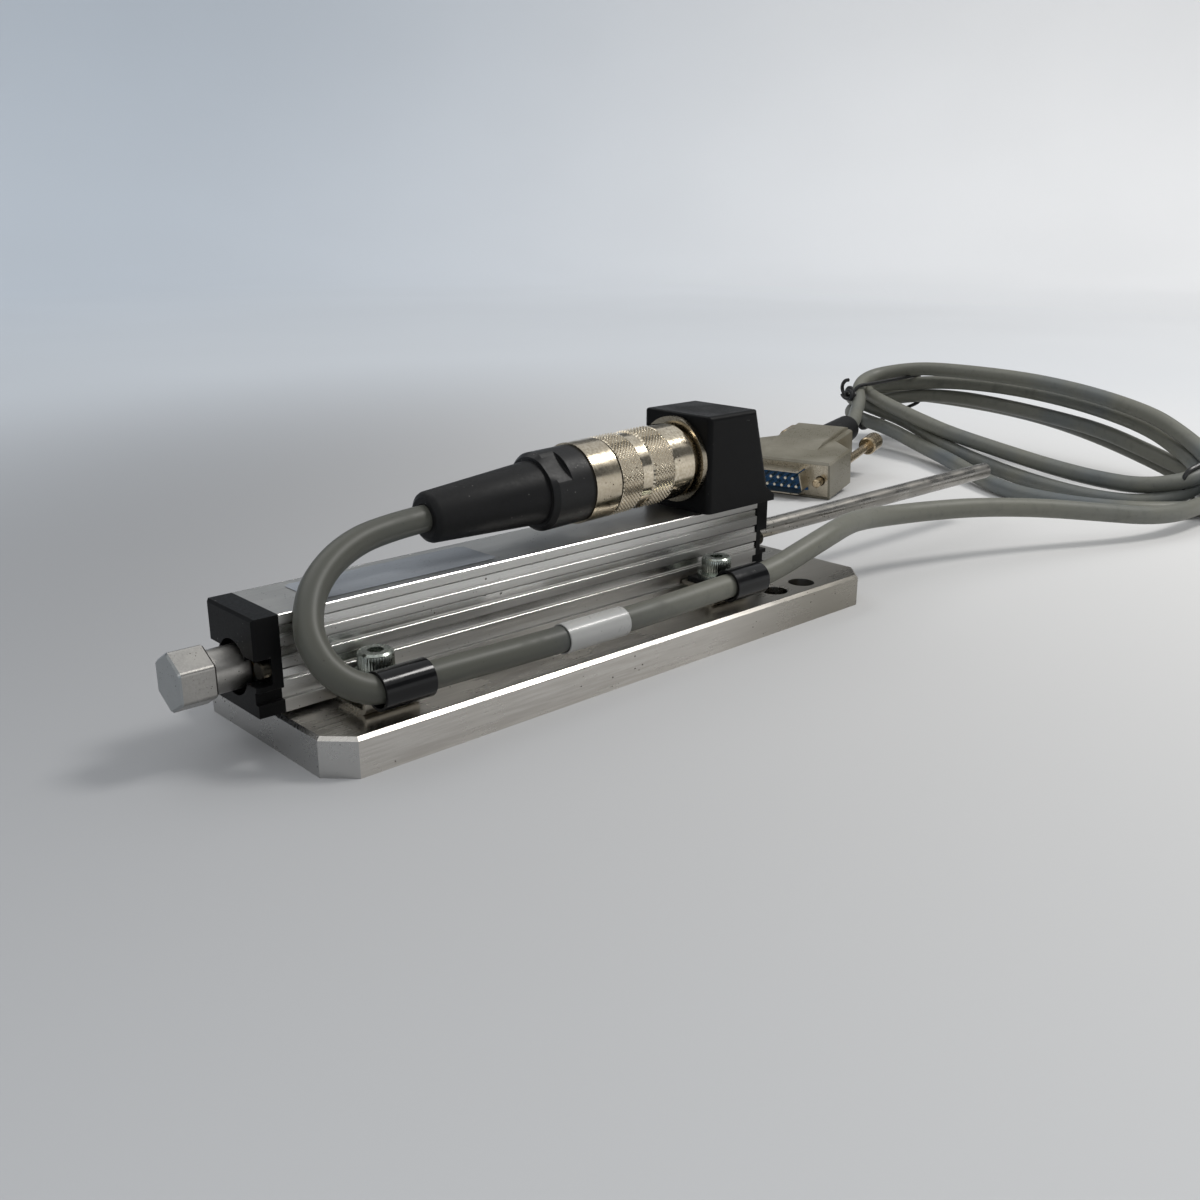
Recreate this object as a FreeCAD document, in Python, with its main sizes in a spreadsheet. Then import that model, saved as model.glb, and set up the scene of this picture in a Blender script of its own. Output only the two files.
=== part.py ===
import FreeCAD, Part
import math
import os

import Sketcher

# Linear position sensor clamped on a mounting plate, with its cable and plug.
# Millimetres, +Z up. The origin is the centre of the plate's underside, the
# rod slides along X and the cable side of the sensor is towards -Y.

doc = FreeCAD.newDocument("linear_position_sensor")

# Driving dimensions

DIMENSIONS = {
    "plate_length": 160.0,
    "plate_width": 52.5,
    "plate_thickness": 8.0,
    "plate_corner": 5.3,
    "plate_edge": 0.7,
    "plate_hole_radius": 3.3,
    "plate_hole_front": 48.3,
    "plate_hole_pitch": 10.6,
    "plate_hole_offset": 20.2,
    "profile_front": -79.3,
    "profile_length": 133.2,
    "profile_width": 18.0,
    "profile_height": 19.0,
    "profile_edge": 0.35,
    "foot_height": 2.5,
    "clamp_groove_height": 2.4,
    "clamp_groove_depth": 1.0,
    "rib_groove_low": 6.6,
    "rib_groove_pitch": 4.22,
    "rib_groove_height": 2.05,
    "rib_groove_depth": 0.8,
    "cavity_width": 11.0,
    "cavity_low": 2.0,
    "cavity_height": 15.2,
    "cap_thickness": 5.3,
    "rear_cap_thickness": 4.0,
    "cap_edge": 0.5,
    "cap_recess_radius": 5.5,
    "cap_recess_depth": 2.2,
    "cap_screw_offset": 7.0,
    "cap_screw_level": 17.5,
    "cap_screw_radius": 1.0,
    "cap_screw_head_radius": 1.9,
    "cap_screw_head": 1.8,
    "cap_screw_length": 10.0,
    "cap_pocket_inner": 4.9,
    "cap_pocket_height": 5.2,
    "cap_pocket_depth": 3.2,
    "rear_pocket_depth": 2.4,
    "block_front": 33.2,
    "block_width": 22.0,
    "block_top": 51.5,
    "block_top_length": 17.2,
    "block_slope": 5.4,
    "block_shoulder": 31.0,
    "block_edge": 1.3,
    "rod_level": 16.8,
    "rod_radius": 2.5,
    "rod_front": -92.9,
    "rod_rear": 180.4,
    "rod_bevel": 0.7,
    "running_fit": 0.06,
    "seat_fit": 0.05,
    "tip_front": -97.1,
    "tip_length": 7.1,
    "tip_radius": 5.9,
    "tip_round": 1.0,
    "tip_edge": 0.4,
    "neck_radius": 4.3,
    "neck_length": 7.0,
    "bush_radius": 4.0,
    "bush_length": 5.0,
    "carriage_rear": 47.0,
    "carriage_length": 19.0,
    "carriage_width": 10.0,
    "carriage_height": 10.4,
    "carriage_gap": 0.6,
    "contact_sheet": 0.3,
    "contact_width": 1.4,
    "contact_spread": 2.6,
    "element_thickness": 1.1,
    "element_gap": 0.3,
    "element_length": 124.0,
    "connector_level": 40.3,
    "connector_droop": 2.0,
    "flange_radius": 10.4,
    "flange_thickness": 1.4,
    "barrel_radius": 7.9,
    "barrel_end": 13.0,
    "socket_radius": 7.5,
    "socket_depth": 8.0,
    "insert_radius": 6.2,
    "insert_face": 5.0,
    "pin_radius": 0.75,
    "pin_circle": 3.3,
    "pin_length": 5.0,
    "ring_front": 2.6,
    "ring_rim_end": 9.6,
    "ring_band_start": 16.3,
    "ring_band_end": 19.8,
    "ring_end": 26.2,
    "ring_rim_radius": 9.15,
    "ring_grip_radius": 9.3,
    "ring_band_radius": 8.85,
    "ring_gap": 0.3,
    "sleeve_radius": 9.25,
    "sleeve_end": 34.3,
    "nut_radius": 9.55,
    "nut_end": 45.7,
    "nut_flat": 8.2,
    "nut_neck": 8.8,
    "nut_roll": 50.0,
    "boot_end": 74.0,
    "boot_radius": 8.0,
    "boot_tip_radius": 5.4,
    "boot_round": 1.2,
    "cable_radius": 2.85,
    "cable_fit": 0.1,
    "clamp_sheet": 1.0,
    "clamp_front_x": -62.6,
    "clamp_pitch": 96.0,
    "clamp_width": 12.0,
    "clamp_screw_offset": 14.0,
    "clamp_outer": 19.1,
    "clamp_grip": 8.3,
    "clamp_heel": 6.5,
    "clamp_bend": 1.4,
    "screw_radius": 2.0,
    "screw_head_radius": 3.5,
    "screw_head": 4.0,
    "screw_socket": 3.0,
    "screw_socket_depth": 2.0,
    "washer_radius": 4.5,
    "washer_thickness": 0.7,
    "clip_offset": 22.4,
    "clip_level": 13.9,
    "clip_strap": 0.65,
    "clip_fit": 0.35,
    "clip_width": 11.0,
    "clip_tail_end": 9.9,
    "marker_start": -23.6,
    "marker_length": 17.0,
    "marker_offset": 22.65,
    "marker_level": 13.35,
    "marker_wall": 0.3,
    "coil_x": 264.7,
    "coil_y": 36.2,
    "coil_z": 12.5,
    "coil_turn": 82.9,
    "coil_rise": 4.3,
    "coil_lean": 22.0,
    "coil_outer_major": 87.5,
    "coil_outer_minor": 32.5,
    "coil_inner_major": 74.0,
    "coil_inner_minor": 19.0,
    "coil_height": 14.0,
    "coil_edge": 4.0,
    "plug_x": 161.6,
    "plug_y": 71.1,
    "plug_turn": 15.2,
    "plug_tilt": 6.3,
    "hood_width": 41.0,
    "hood_thickness": 13.6,
    "hood_front_length": 19.5,
    "hood_back_width": 22.6,
    "hood_shoulder": 9.0,
    "hood_length": 45.0,
    "hood_rise": 1.6,
    "hood_lip": 0.5,
    "hood_edge": 0.8,
    "shell_plate_width": 39.2,
    "shell_plate_height": 11.6,
    "shell_plate": 1.0,
    "shell_width": 25.3,
    "shell_height": 8.4,
    "shell_taper": 1.48,
    "shell_length": 5.8,
    "shell_wall": 0.4,
    "shell_corner": 2.4,
    "insulator_back": 7.0,
    "insulator_front": 0.6,
    "contact_pitch": 2.77,
    "contact_row": 1.42,
    "contact_radius": 0.5,
    "contact_reach": 5.2,
    "jack_offset": 16.65,
    "jack_radius": 1.5,
    "jack_hole": 1.8,
    "jack_front": 4.0,
    "knob_start": 46.5,
    "knob_length": 9.0,
    "knob_radius": 3.4,
    "plug_boot_length": 24.0,
    "plug_boot_radius": 6.4,
    "plug_boot_tip": 5.2,
}

sheet = doc.addObject("Spreadsheet::Sheet", "dims")
for row, (alias, number) in enumerate(DIMENSIONS.items(), start=1):
    sheet.set(f"A{row}", alias)
    sheet.set(f"B{row}", str(number))
    sheet.setAlias(f"B{row}", alias)
doc.recompute()


class Size:
    """A length together with the sheet formula that yields it."""

    def __init__(self, text, value):
        self.text = text
        self.value = value

    def combine(self, other, sign, value):
        return Size(f"({self.text} {sign} {as_size(other).text})", value)

    def __add__(self, other):
        return self.combine(other, "+", self.value + as_size(other).value)

    def __sub__(self, other):
        return self.combine(other, "-", self.value - as_size(other).value)

    def __mul__(self, other):
        return self.combine(other, "*", self.value * as_size(other).value)

    def __truediv__(self, other):
        return self.combine(other, "/", self.value / as_size(other).value)

    def __neg__(self):
        return Size(f"(0 - {self.text})", -self.value)


def as_size(number):
    """A Size as it is, or a plain number as a Size."""
    if isinstance(number, Size):
        return number
    return Size(f"({number!r})", float(number))


def dim(alias):
    """The named dimension of the sheet."""
    return Size(f"dims.{alias}", float(sheet.get(alias)))


# Sketch and feature helpers

ZERO = as_size(0)


def plane(body, role):
    return next(item for item in body.Origin.OriginFeatures if item.Role == role)


def new_body(name):
    body = doc.addObject("PartDesign::Body", name)
    body.Label = name
    return body


def sketch_on(body, role, offset=ZERO, shift_x=ZERO, shift_y=ZERO):
    """An empty sketch on a plane of the body's origin, moved along it and off it."""
    sketch = body.newObject("Sketcher::SketchObject", f"{body.Name}_sketch")
    sketch.AttachmentSupport = (plane(body, role), [""])
    sketch.MapMode = "FlatFace"
    for axis, move in (("x", shift_x), ("y", shift_y), ("z", offset)):
        if move is not ZERO:
            sketch.setExpression(f"AttachmentOffset.Base.{axis}", move.text)
    return sketch


def tie(sketch, shape, point, x, y):
    """Tie a point of the sketch to the sheet by its two coordinates."""
    for kind, size, axis in (("DistanceX", as_size(x), -2), ("DistanceY", as_size(y), -1)):
        if size.value == 0:
            sketch.addConstraint(Sketcher.Constraint("PointOnObject", shape, point, axis))
        else:
            index = sketch.addConstraint(Sketcher.Constraint(kind, -1, 1, shape, point, size.value))
            sketch.setExpression(f"Constraints[{index}]", size.text)


def outline(sketch, corners):
    """A closed outline of straight edges through the corners."""
    first = sketch.GeometryCount
    count = len(corners)
    points = [FreeCAD.Vector(as_size(x).value, as_size(y).value, 0) for x, y in corners]
    for i in range(count):
        sketch.addGeometry(Part.LineSegment(points[i], points[(i + 1) % count]), False)
    for i in range(count):
        sketch.addConstraint(Sketcher.Constraint("Coincident", first + i, 2, first + (i + 1) % count, 1))
    for i, (x, y) in enumerate(corners):
        tie(sketch, first + i, 1, x, y)


def rectangle(sketch, low_x, low_y, high_x, high_y):
    outline(sketch, [(low_x, low_y), (high_x, low_y), (high_x, high_y), (low_x, high_y)])


def circle(sketch, x, y, radius):
    centre = FreeCAD.Vector(as_size(x).value, as_size(y).value, 0)
    index = sketch.addGeometry(Part.Circle(centre, FreeCAD.Vector(0, 0, 1), radius.value), False)
    tie(sketch, index, 3, x, y)
    constraint = sketch.addConstraint(Sketcher.Constraint("Radius", index, radius.value))
    sketch.setExpression(f"Constraints[{constraint}]", radius.text)


def pad(body, sketch, length, both_sides=False, backward=False):
    feature = body.newObject("PartDesign::Pad", f"{body.Name}_pad")
    feature.Profile = sketch
    feature.setExpression("Length", length.text)
    if both_sides:
        feature.SideType = "Symmetric"
    feature.Reversed = backward
    doc.recompute()
    return feature


def pocket(body, sketch, depth=None, forward=False):
    """Cut the sketch away, to a depth or right through."""
    feature = body.newObject("PartDesign::Pocket", f"{body.Name}_pocket")
    feature.Profile = sketch
    if depth is None:
        feature.Type = "ThroughAll"
    else:
        feature.setExpression("Length", depth.text)
    feature.Reversed = forward
    doc.recompute()
    return feature


def revolve(body, sketch, axis):
    feature = body.newObject("PartDesign::Revolution", f"{body.Name}_turn")
    feature.Profile = sketch
    feature.ReferenceAxis = (sketch, [axis])
    feature.Angle = 360
    doc.recompute()
    return feature


def turned(name, profile):
    """A piece turned about its own X axis from (length, radius) corners."""
    body = new_body(name)
    sketch = sketch_on(body, "XY_Plane")
    outline(sketch, profile)
    revolve(body, sketch, "H_Axis")
    return body


def mirrored(body, originals, role):
    feature = body.newObject("PartDesign::Mirrored", f"{body.Name}_mirror")
    feature.Originals = originals
    feature.MirrorPlane = (plane(body, role), [""])
    body.Tip = feature
    doc.recompute()
    return feature


def row_along(body, originals, role, length, count):
    feature = body.newObject("PartDesign::LinearPattern", f"{body.Name}_row")
    feature.Originals = originals
    feature.Direction = (plane(body, role), [""])
    feature.setExpression("Length", length.text)
    feature.Occurrences = count
    body.Tip = feature
    doc.recompute()
    return feature


def ring_of(body, originals, count):
    feature = body.newObject("PartDesign::PolarPattern", f"{body.Name}_ring")
    feature.Originals = originals
    feature.Axis = (plane(body, "X_Axis"), [""])
    feature.Angle = 360
    feature.Occurrences = count
    body.Tip = feature
    doc.recompute()
    return feature


def edge_names(feature, wanted):
    """The names of the edges whose ends both pass the test."""
    names = []
    for number, edge in enumerate(feature.Shape.Edges, start=1):
        if all(wanted(vertex.Point) for vertex in edge.Vertexes):
            names.append(f"Edge{number}")
    return names


def along(feature, direction):
    """The names of the straight edges parallel to a direction."""
    names = []
    for number, edge in enumerate(feature.Shape.Edges, start=1):
        if isinstance(edge.Curve, Part.Line) and abs(edge.Curve.Direction.dot(direction)) > 0.999:
            names.append(f"Edge{number}")
    return names


def soften(body, kind, feature, names, size):
    """A chamfer or fillet on named edges."""
    edge = body.newObject(f"PartDesign::{kind}", f"{body.Name}_{kind.lower()}")
    edge.Base = (feature, names)
    edge.setExpression("Size" if kind == "Chamfer" else "Radius", size.text)
    doc.recompute()
    return edge


def place(body, x, y, z, rotation=FreeCAD.Rotation()):
    base = FreeCAD.Vector(as_size(x).value, as_size(y).value, as_size(z).value)
    body.Placement = FreeCAD.Placement(base, rotation)
    for axis, size in (("x", x), ("y", y), ("z", z)):
        body.setExpression(f"Placement.Base.{axis}", as_size(size).text)
    return body


def near(number, size):
    return abs(number - as_size(size).value) < 1e-4


X_AXIS = FreeCAD.Vector(1, 0, 0)
Y_AXIS = FreeCAD.Vector(0, 1, 0)
Z_AXIS = FreeCAD.Vector(0, 0, 1)

plate_top = dim("plate_thickness")
profile_low = plate_top + dim("clamp_sheet")
profile_top = profile_low + dim("profile_height")
profile_rear = dim("profile_front") + dim("profile_length")
half_profile = dim("profile_width") / 2
groove_low = profile_low + dim("foot_height")
groove_high = groove_low + dim("clamp_groove_height")
cap_front = dim("profile_front") - dim("cap_thickness")
rear_cap_rear = profile_rear + dim("rear_cap_thickness")
clamp_rear_x = dim("clamp_front_x") + dim("clamp_pitch")
clamp_top = groove_low + dim("clamp_sheet")
clip_top = clamp_top + dim("clip_strap") * 2

nodes = []


def keep(node):
    nodes.append(node)
    return node


# Mounting plate


def make_plate():
    body = new_body("base_plate")
    length = dim("plate_length") / 2
    width = dim("plate_width") / 2
    corner = dim("plate_corner")
    sketch = sketch_on(body, "XY_Plane")
    outline(sketch, [
        (-length, corner - width), (corner - length, -width),
        (length - corner, -width), (length, corner - width),
        (length, width - corner), (length - corner, width),
        (corner - length, width), (-length, width - corner),
    ])
    slab = pad(body, sketch, plate_top)
    top_edges = edge_names(slab, lambda point: near(point.z, plate_top))
    soften(body, "Chamfer", slab, top_edges, dim("plate_edge"))
    holes = sketch_on(body, "XY_Plane")
    for side in (-1, 1):
        for step in (0, 1):
            x = dim("plate_hole_front") + dim("plate_hole_pitch") * step
            circle(holes, x, dim("plate_hole_offset") * side, dim("plate_hole_radius"))
            x = dim("clamp_front_x") + dim("clamp_pitch") * step
            circle(holes, x, dim("clamp_screw_offset") * side, dim("screw_radius") + dim("seat_fit"))
    pocket(body, holes, forward=True)
    return body


keep(make_plate())

# Clamps, screws and washers that hold the profile


def make_clamp(name, x, side):
    body = new_body(name)
    sheet_thickness = dim("clamp_sheet")
    outer = dim("clamp_outer") * side
    inner = (dim("clamp_outer") - sheet_thickness) * side
    grip = dim("clamp_grip") * side
    heel = dim("clamp_heel") * side
    sketch = sketch_on(body, "YZ_Plane", x - dim("clamp_width") / 2)
    outline(sketch, [
        (heel, plate_top), (outer, plate_top), (outer, clamp_top), (grip, clamp_top),
        (grip, groove_low), (inner, groove_low), (inner, profile_low), (heel, profile_low),
    ])
    strip = pad(body, sketch, dim("clamp_width"))
    outer_edges = edge_names(strip, lambda point: near(point.y, outer))
    outer_bends = [edge for edge in along(strip, X_AXIS) if edge in outer_edges]
    soften(body, "Fillet", strip, outer_bends, dim("clamp_bend"))
    hole = sketch_on(body, "XY_Plane")
    circle(hole, x, dim("clamp_screw_offset") * side, dim("screw_radius") + 0.25)
    pocket(body, hole, forward=True)
    return body


for end, end_x in (("front", dim("clamp_front_x")), ("rear", clamp_rear_x)):
    for side_name, side in (("near", -1), ("far", 1)):
        keep(make_clamp(f"clamp_{end}_{side_name}", end_x, side))

washer_levels = {-1: clip_top, 1: clamp_top}


def make_clamp_washers():
    body = new_body("clamp_washers")
    for side, level in washer_levels.items():
        sketch = sketch_on(body, "XY_Plane", level)
        for x in (dim("clamp_front_x"), clamp_rear_x):
            y = dim("clamp_screw_offset") * side
            circle(sketch, x, y, dim("washer_radius"))
            circle(sketch, x, y, dim("screw_radius") + 0.15)
        pad(body, sketch, dim("washer_thickness"))
    return body


def hexagon(x, y, across_flats):
    """Corners of a hexagon with a corner on its upper side."""
    radius = across_flats / math.sqrt(3)
    half = across_flats / 2
    return [
        (x, y + radius), (x + half, y + radius / 2), (x + half, y - radius / 2),
        (x, y - radius), (x - half, y - radius / 2), (x - half, y + radius / 2),
    ]


def make_clamp_screws():
    body = new_body("clamp_screws")
    head = dim("screw_head_radius")
    edge = 0.4
    for side, level in washer_levels.items():
        seat = level + dim("washer_thickness")
        top = seat + dim("screw_head")
        sketch = sketch_on(body, "XZ_Plane", dim("clamp_screw_offset") * -side, dim("clamp_front_x"))
        outline(sketch, [
            (ZERO, as_size(1.0)), (dim("screw_radius"), as_size(1.0)), (dim("screw_radius"), seat),
            (head, seat), (head, top - edge), (head - edge, top), (ZERO, top),
        ])
        screw = revolve(body, sketch, "V_Axis")
        row_along(body, [screw], "X_Axis", dim("clamp_pitch"), 2)
        sockets = sketch_on(body, "XY_Plane", top)
        for x in (dim("clamp_front_x"), clamp_rear_x):
            outline(sockets, hexagon(x, dim("clamp_screw_offset") * side, dim("screw_socket")))
        pocket(body, sockets, dim("screw_socket_depth"))
    return body


keep(make_clamp_washers())
keep(make_clamp_screws())


def make_clip(name, x):
    body = new_body(name)
    start = x - dim("clip_width") / 2
    centre = -dim("clip_offset")
    inner = dim("cable_radius") + dim("clip_fit")
    outer = inner + dim("clip_strap")
    loop = sketch_on(body, "YZ_Plane", start)
    circle(loop, centre, dim("clip_level"), outer)
    pad(body, loop, dim("clip_width"))
    tails = sketch_on(body, "YZ_Plane", start)
    rectangle(tails, centre + inner, clamp_top, -dim("clip_tail_end"), clip_top)
    pad(body, tails, dim("clip_width"))
    bore = sketch_on(body, "YZ_Plane", start)
    circle(bore, centre, dim("clip_level"), inner)
    pocket(body, bore, forward=True)
    hole = sketch_on(body, "XY_Plane")
    circle(hole, x, -dim("clamp_screw_offset"), dim("screw_radius") + 0.25)
    pocket(body, hole, forward=True)
    return body


keep(make_clip("p_clip_front", dim("clamp_front_x")))
keep(make_clip("p_clip_rear", clamp_rear_x))

# Extruded profile of the sensor


def make_profile():
    body = new_body("profile")
    side = [(half_profile, profile_low)]
    grooves = [(groove_low, groove_high, dim("clamp_groove_depth"))]
    for step in range(3):
        low = profile_low + dim("rib_groove_low") + dim("rib_groove_pitch") * step
        grooves.append((low, low + dim("rib_groove_height"), dim("rib_groove_depth")))
    for low, high, depth in grooves:
        side += [(half_profile, low), (half_profile - depth, low)]
        side += [(half_profile - depth, high), (half_profile, high)]
    side += [(half_profile, profile_top - dim("profile_edge"))]
    side += [(half_profile - dim("profile_edge"), profile_top)]
    sketch = sketch_on(body, "YZ_Plane", dim("profile_front"))
    outline(sketch, side + [(-y, z) for y, z in reversed(side)])
    cavity = dim("cavity_width") / 2
    cavity_low = profile_low + dim("cavity_low")
    rectangle(sketch, -cavity, cavity_low, cavity, cavity_low + dim("cavity_height"))
    for sign in (-1, 1):
        circle(sketch, dim("cap_screw_offset") * sign, dim("cap_screw_level"),
               dim("cap_screw_radius") + dim("seat_fit"))
    pad(body, sketch, dim("profile_length"))
    return body


keep(make_profile())

# End caps


def cap_outline(sketch, top):
    side = [
        (half_profile, profile_low), (half_profile, groove_low),
        (half_profile - dim("clamp_groove_depth"), groove_low),
        (half_profile - dim("clamp_groove_depth"), groove_high),
        (half_profile, groove_high), (half_profile, top),
    ]
    outline(sketch, side + [(-y, z) for y, z in reversed(side)])


def cut_cap_holes(body, outer_face, pocket_depth, inward):
    """The bush seat, the screw holes and the side pockets of the screw heads."""
    bores = sketch_on(body, "YZ_Plane", outer_face)
    circle(bores, ZERO, dim("rod_level"), dim("bush_radius") + dim("seat_fit"))
    for sign in (-1, 1):
        circle(bores, dim("cap_screw_offset") * sign, dim("cap_screw_level"),
               dim("cap_screw_radius") + dim("seat_fit"))
    pocket(body, bores, forward=inward)
    pockets = sketch_on(body, "YZ_Plane", outer_face)
    low = dim("cap_screw_level") - dim("cap_pocket_height") / 2
    for sign in (-1, 1):
        rectangle(pockets, dim("cap_pocket_inner") * sign, low,
                  (half_profile + 1) * sign, low + dim("cap_pocket_height"))
    pocket(body, pockets, pocket_depth, forward=inward)


def make_front_cap():
    body = new_body("front_cap")
    sketch = sketch_on(body, "YZ_Plane", cap_front)
    cap_outline(sketch, profile_top)
    slab = pad(body, sketch, dim("cap_thickness"))
    edges = edge_names(slab, lambda point: near(point.x, cap_front) and point.z > groove_high.value - 0.1
                       and abs(point.y) > half_profile.value - 0.1)
    soften(body, "Chamfer", slab, edges, dim("cap_edge"))
    recess = sketch_on(body, "YZ_Plane", cap_front)
    circle(recess, ZERO, dim("rod_level"), dim("cap_recess_radius"))
    pocket(body, recess, dim("cap_recess_depth"), forward=True)
    cut_cap_holes(body, cap_front, dim("cap_pocket_depth"), True)
    return body


def connector_axis():
    """The rotation that turns a piece's X axis into the connector's outward axis."""
    return FreeCAD.Rotation(Y_AXIS, 180 - float(sheet.get("connector_droop")))


def on_connector(body, roll=0):
    """Set a piece on the connector's axis, rolled about it."""
    rotation = connector_axis().multiply(FreeCAD.Rotation(X_AXIS, roll))
    return place(body, dim("block_front"), ZERO, dim("connector_level"), rotation)


def make_rear_housing():
    body = new_body("rear_moulding")
    front = dim("block_front")
    top = dim("block_top")
    shoulder = dim("block_shoulder")
    block = sketch_on(body, "XZ_Plane")
    outline(block, [
        (front, profile_top), (front, top), (front + dim("block_top_length"), top),
        (front + dim("block_top_length") + dim("block_slope"), shoulder),
        (rear_cap_rear, profile_top + 1.5), (rear_cap_rear, profile_top),
    ])
    block_pad = pad(body, block, dim("block_width"), both_sides=True)
    upper = edge_names(block_pad, lambda point: point.z > shoulder.value - 0.1)
    upright = edge_names(block_pad, lambda point: near(point.x, front) and abs(point.y) > 1)
    across = along(block_pad, Y_AXIS)
    rounded = [name for name in sorted(set(upper + upright)) if name not in across]
    softened = soften(body, "Fillet", block_pad, rounded, dim("block_edge"))
    top_front = [name for name in along(softened, Y_AXIS) if name in edge_names(
        softened, lambda point: near(point.x, front) and near(point.z, top))]
    soften(body, "Fillet", softened, top_front, dim("block_edge") / 2)
    cap = sketch_on(body, "YZ_Plane", profile_rear)
    cap_outline(cap, profile_top + 1)
    pad(body, cap, dim("rear_cap_thickness"))
    cut_cap_holes(body, rear_cap_rear, dim("rear_pocket_depth"), False)

    depth = dim("socket_depth") + 1
    bore = dim("socket_radius") + dim("seat_fit")
    rim = dim("flange_radius") + dim("seat_fit")
    seat = turned("connector_seat", [
        (-depth, ZERO), (-depth, bore), (ZERO, bore), (ZERO, rim), (as_size(3.0), rim), (as_size(3.0), ZERO),
    ])
    on_connector(seat)
    housing = doc.addObject("Part::Cut", "rear_housing")
    housing.Base = body
    housing.Tool = seat
    housing.Label = "rear_housing"
    doc.recompute()
    return housing


def make_cap_screws(name, seat, inward):
    """Two screws whose heads stand outward of the seat."""
    body = new_body(name)
    head = dim("cap_screw_head_radius")
    shank = dim("cap_screw_radius")
    outer = seat - dim("cap_screw_head") * inward
    inner = seat + dim("cap_screw_length") * inward
    sketch = sketch_on(body, "XY_Plane", dim("cap_screw_level"), ZERO, dim("cap_screw_offset"))
    outline(sketch, [
        (outer, ZERO), (outer, head - 0.3), (outer + inward * 0.3, head), (seat, head),
        (seat, shank), (inner, shank), (inner, ZERO),
    ])
    screw = revolve(body, sketch, "H_Axis")
    mirrored(body, [screw], "XZ_Plane")
    return body


def make_bush(name, start):
    bore = dim("rod_radius") + dim("running_fit")
    outer = dim("bush_radius")
    bush = turned(name, [
        (start, bore), (start, outer), (start + dim("bush_length"), outer), (start + dim("bush_length"), bore),
    ])
    return place(bush, ZERO, ZERO, dim("rod_level"))


keep(make_front_cap())
keep(make_rear_housing())
keep(make_cap_screws("front_cap_screws", cap_front + dim("cap_pocket_depth"), 1))
keep(make_cap_screws("rear_cap_screws", rear_cap_rear - dim("rear_pocket_depth"), -1))
keep(make_bush("front_bush", cap_front + dim("cap_recess_depth")))
keep(make_bush("rear_bush", rear_cap_rear - dim("bush_length") - 0.6))

# Sliding rod with its tip and the wiper


def make_rod():
    radius = dim("rod_radius")
    bevel = dim("rod_bevel")
    rod = turned("actuator_rod", [
        (dim("rod_front"), ZERO), (dim("rod_front"), radius), (dim("rod_rear") - bevel, radius),
        (dim("rod_rear"), radius - bevel), (dim("rod_rear"), ZERO),
    ])
    return place(rod, ZERO, ZERO, dim("rod_level"))


def make_tip():
    body = new_body("hex_tip")
    tip_rear = dim("tip_front") + dim("tip_length")
    neck_rear = tip_rear + dim("neck_length")
    sketch = sketch_on(body, "YZ_Plane", dim("tip_front"))
    outline(sketch, hexagon(ZERO, dim("rod_level"), dim("tip_radius") * math.sqrt(3)))
    prism = pad(body, sketch, dim("tip_length"))
    softened = soften(body, "Fillet", prism, along(prism, X_AXIS), dim("tip_round"))
    ends = edge_names(softened, lambda point: near(point.x, dim("tip_front")) or near(point.x, tip_rear))
    ends = [name for name in ends if name not in along(softened, X_AXIS)]
    soften(body, "Chamfer", softened, ends, dim("tip_edge"))
    neck = sketch_on(body, "YZ_Plane", tip_rear)
    circle(neck, ZERO, dim("rod_level"), dim("neck_radius"))
    pad(body, neck, dim("neck_length"))
    bore = sketch_on(body, "YZ_Plane", dim("rod_front") - dim("seat_fit"))
    circle(bore, ZERO, dim("rod_level"), dim("rod_radius") + dim("seat_fit"))
    pocket(body, bore, neck_rear - dim("rod_front") + 1, forward=True)
    return body


cavity_low_level = profile_low + dim("cavity_low")
cavity_top_level = cavity_low_level + dim("cavity_height")
carriage_low = cavity_low_level + dim("carriage_gap")
carriage_top = carriage_low + dim("carriage_height")
element_low = cavity_top_level - dim("element_thickness")
carriage_front = dim("carriage_rear") - dim("carriage_length")


def make_carriage():
    body = new_body("wiper_carriage")
    half = dim("carriage_width") / 2
    sketch = sketch_on(body, "YZ_Plane", carriage_front)
    rectangle(sketch, -half, carriage_low, half, carriage_top)
    circle(sketch, ZERO, dim("rod_level"), dim("rod_radius") + dim("seat_fit"))
    pad(body, sketch, dim("carriage_length"))
    return body


def make_contacts():
    body = new_body("wiper_contacts")
    sheet_thickness = dim("contact_sheet")
    start = carriage_front + 3
    bend = start + 4
    reach = element_low - dim("element_gap")
    sketch = sketch_on(body, "XZ_Plane", dim("contact_spread"))
    outline(sketch, [
        (start, carriage_top), (bend + 0.6, carriage_top), (bend + 8, reach - 0.3),
        (bend + 9, reach - 0.3), (bend + 9, reach), (bend + 7.8, reach),
        (bend, carriage_top + sheet_thickness), (start, carriage_top + sheet_thickness),
    ])
    finger = pad(body, sketch, dim("contact_width"), both_sides=True)
    mirrored(body, [finger], "XZ_Plane")
    return body


def make_element():
    body = new_body("resistance_element")
    half = dim("cavity_width") / 2 - 0.2
    sketch = sketch_on(body, "YZ_Plane", dim("profile_front") + 4)
    rectangle(sketch, -half, element_low, half, cavity_top_level)
    pad(body, sketch, dim("element_length"))
    return body


keep(make_rod())
keep(make_tip())
keep(make_carriage())
keep(make_contacts())
keep(make_element())

# Round connector, lengths counted outward from the face of the block


def make_receptacle():
    barrel = dim("barrel_radius")
    bore = dim("insert_radius") + dim("seat_fit")
    back = -dim("socket_depth")
    return turned("receptacle", [
        (back, bore), (back, dim("socket_radius")), (ZERO, dim("socket_radius")),
        (ZERO, dim("flange_radius")), (dim("flange_thickness"), dim("flange_radius")),
        (dim("flange_thickness"), barrel), (dim("barrel_end"), barrel), (dim("barrel_end"), bore),
    ])


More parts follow.
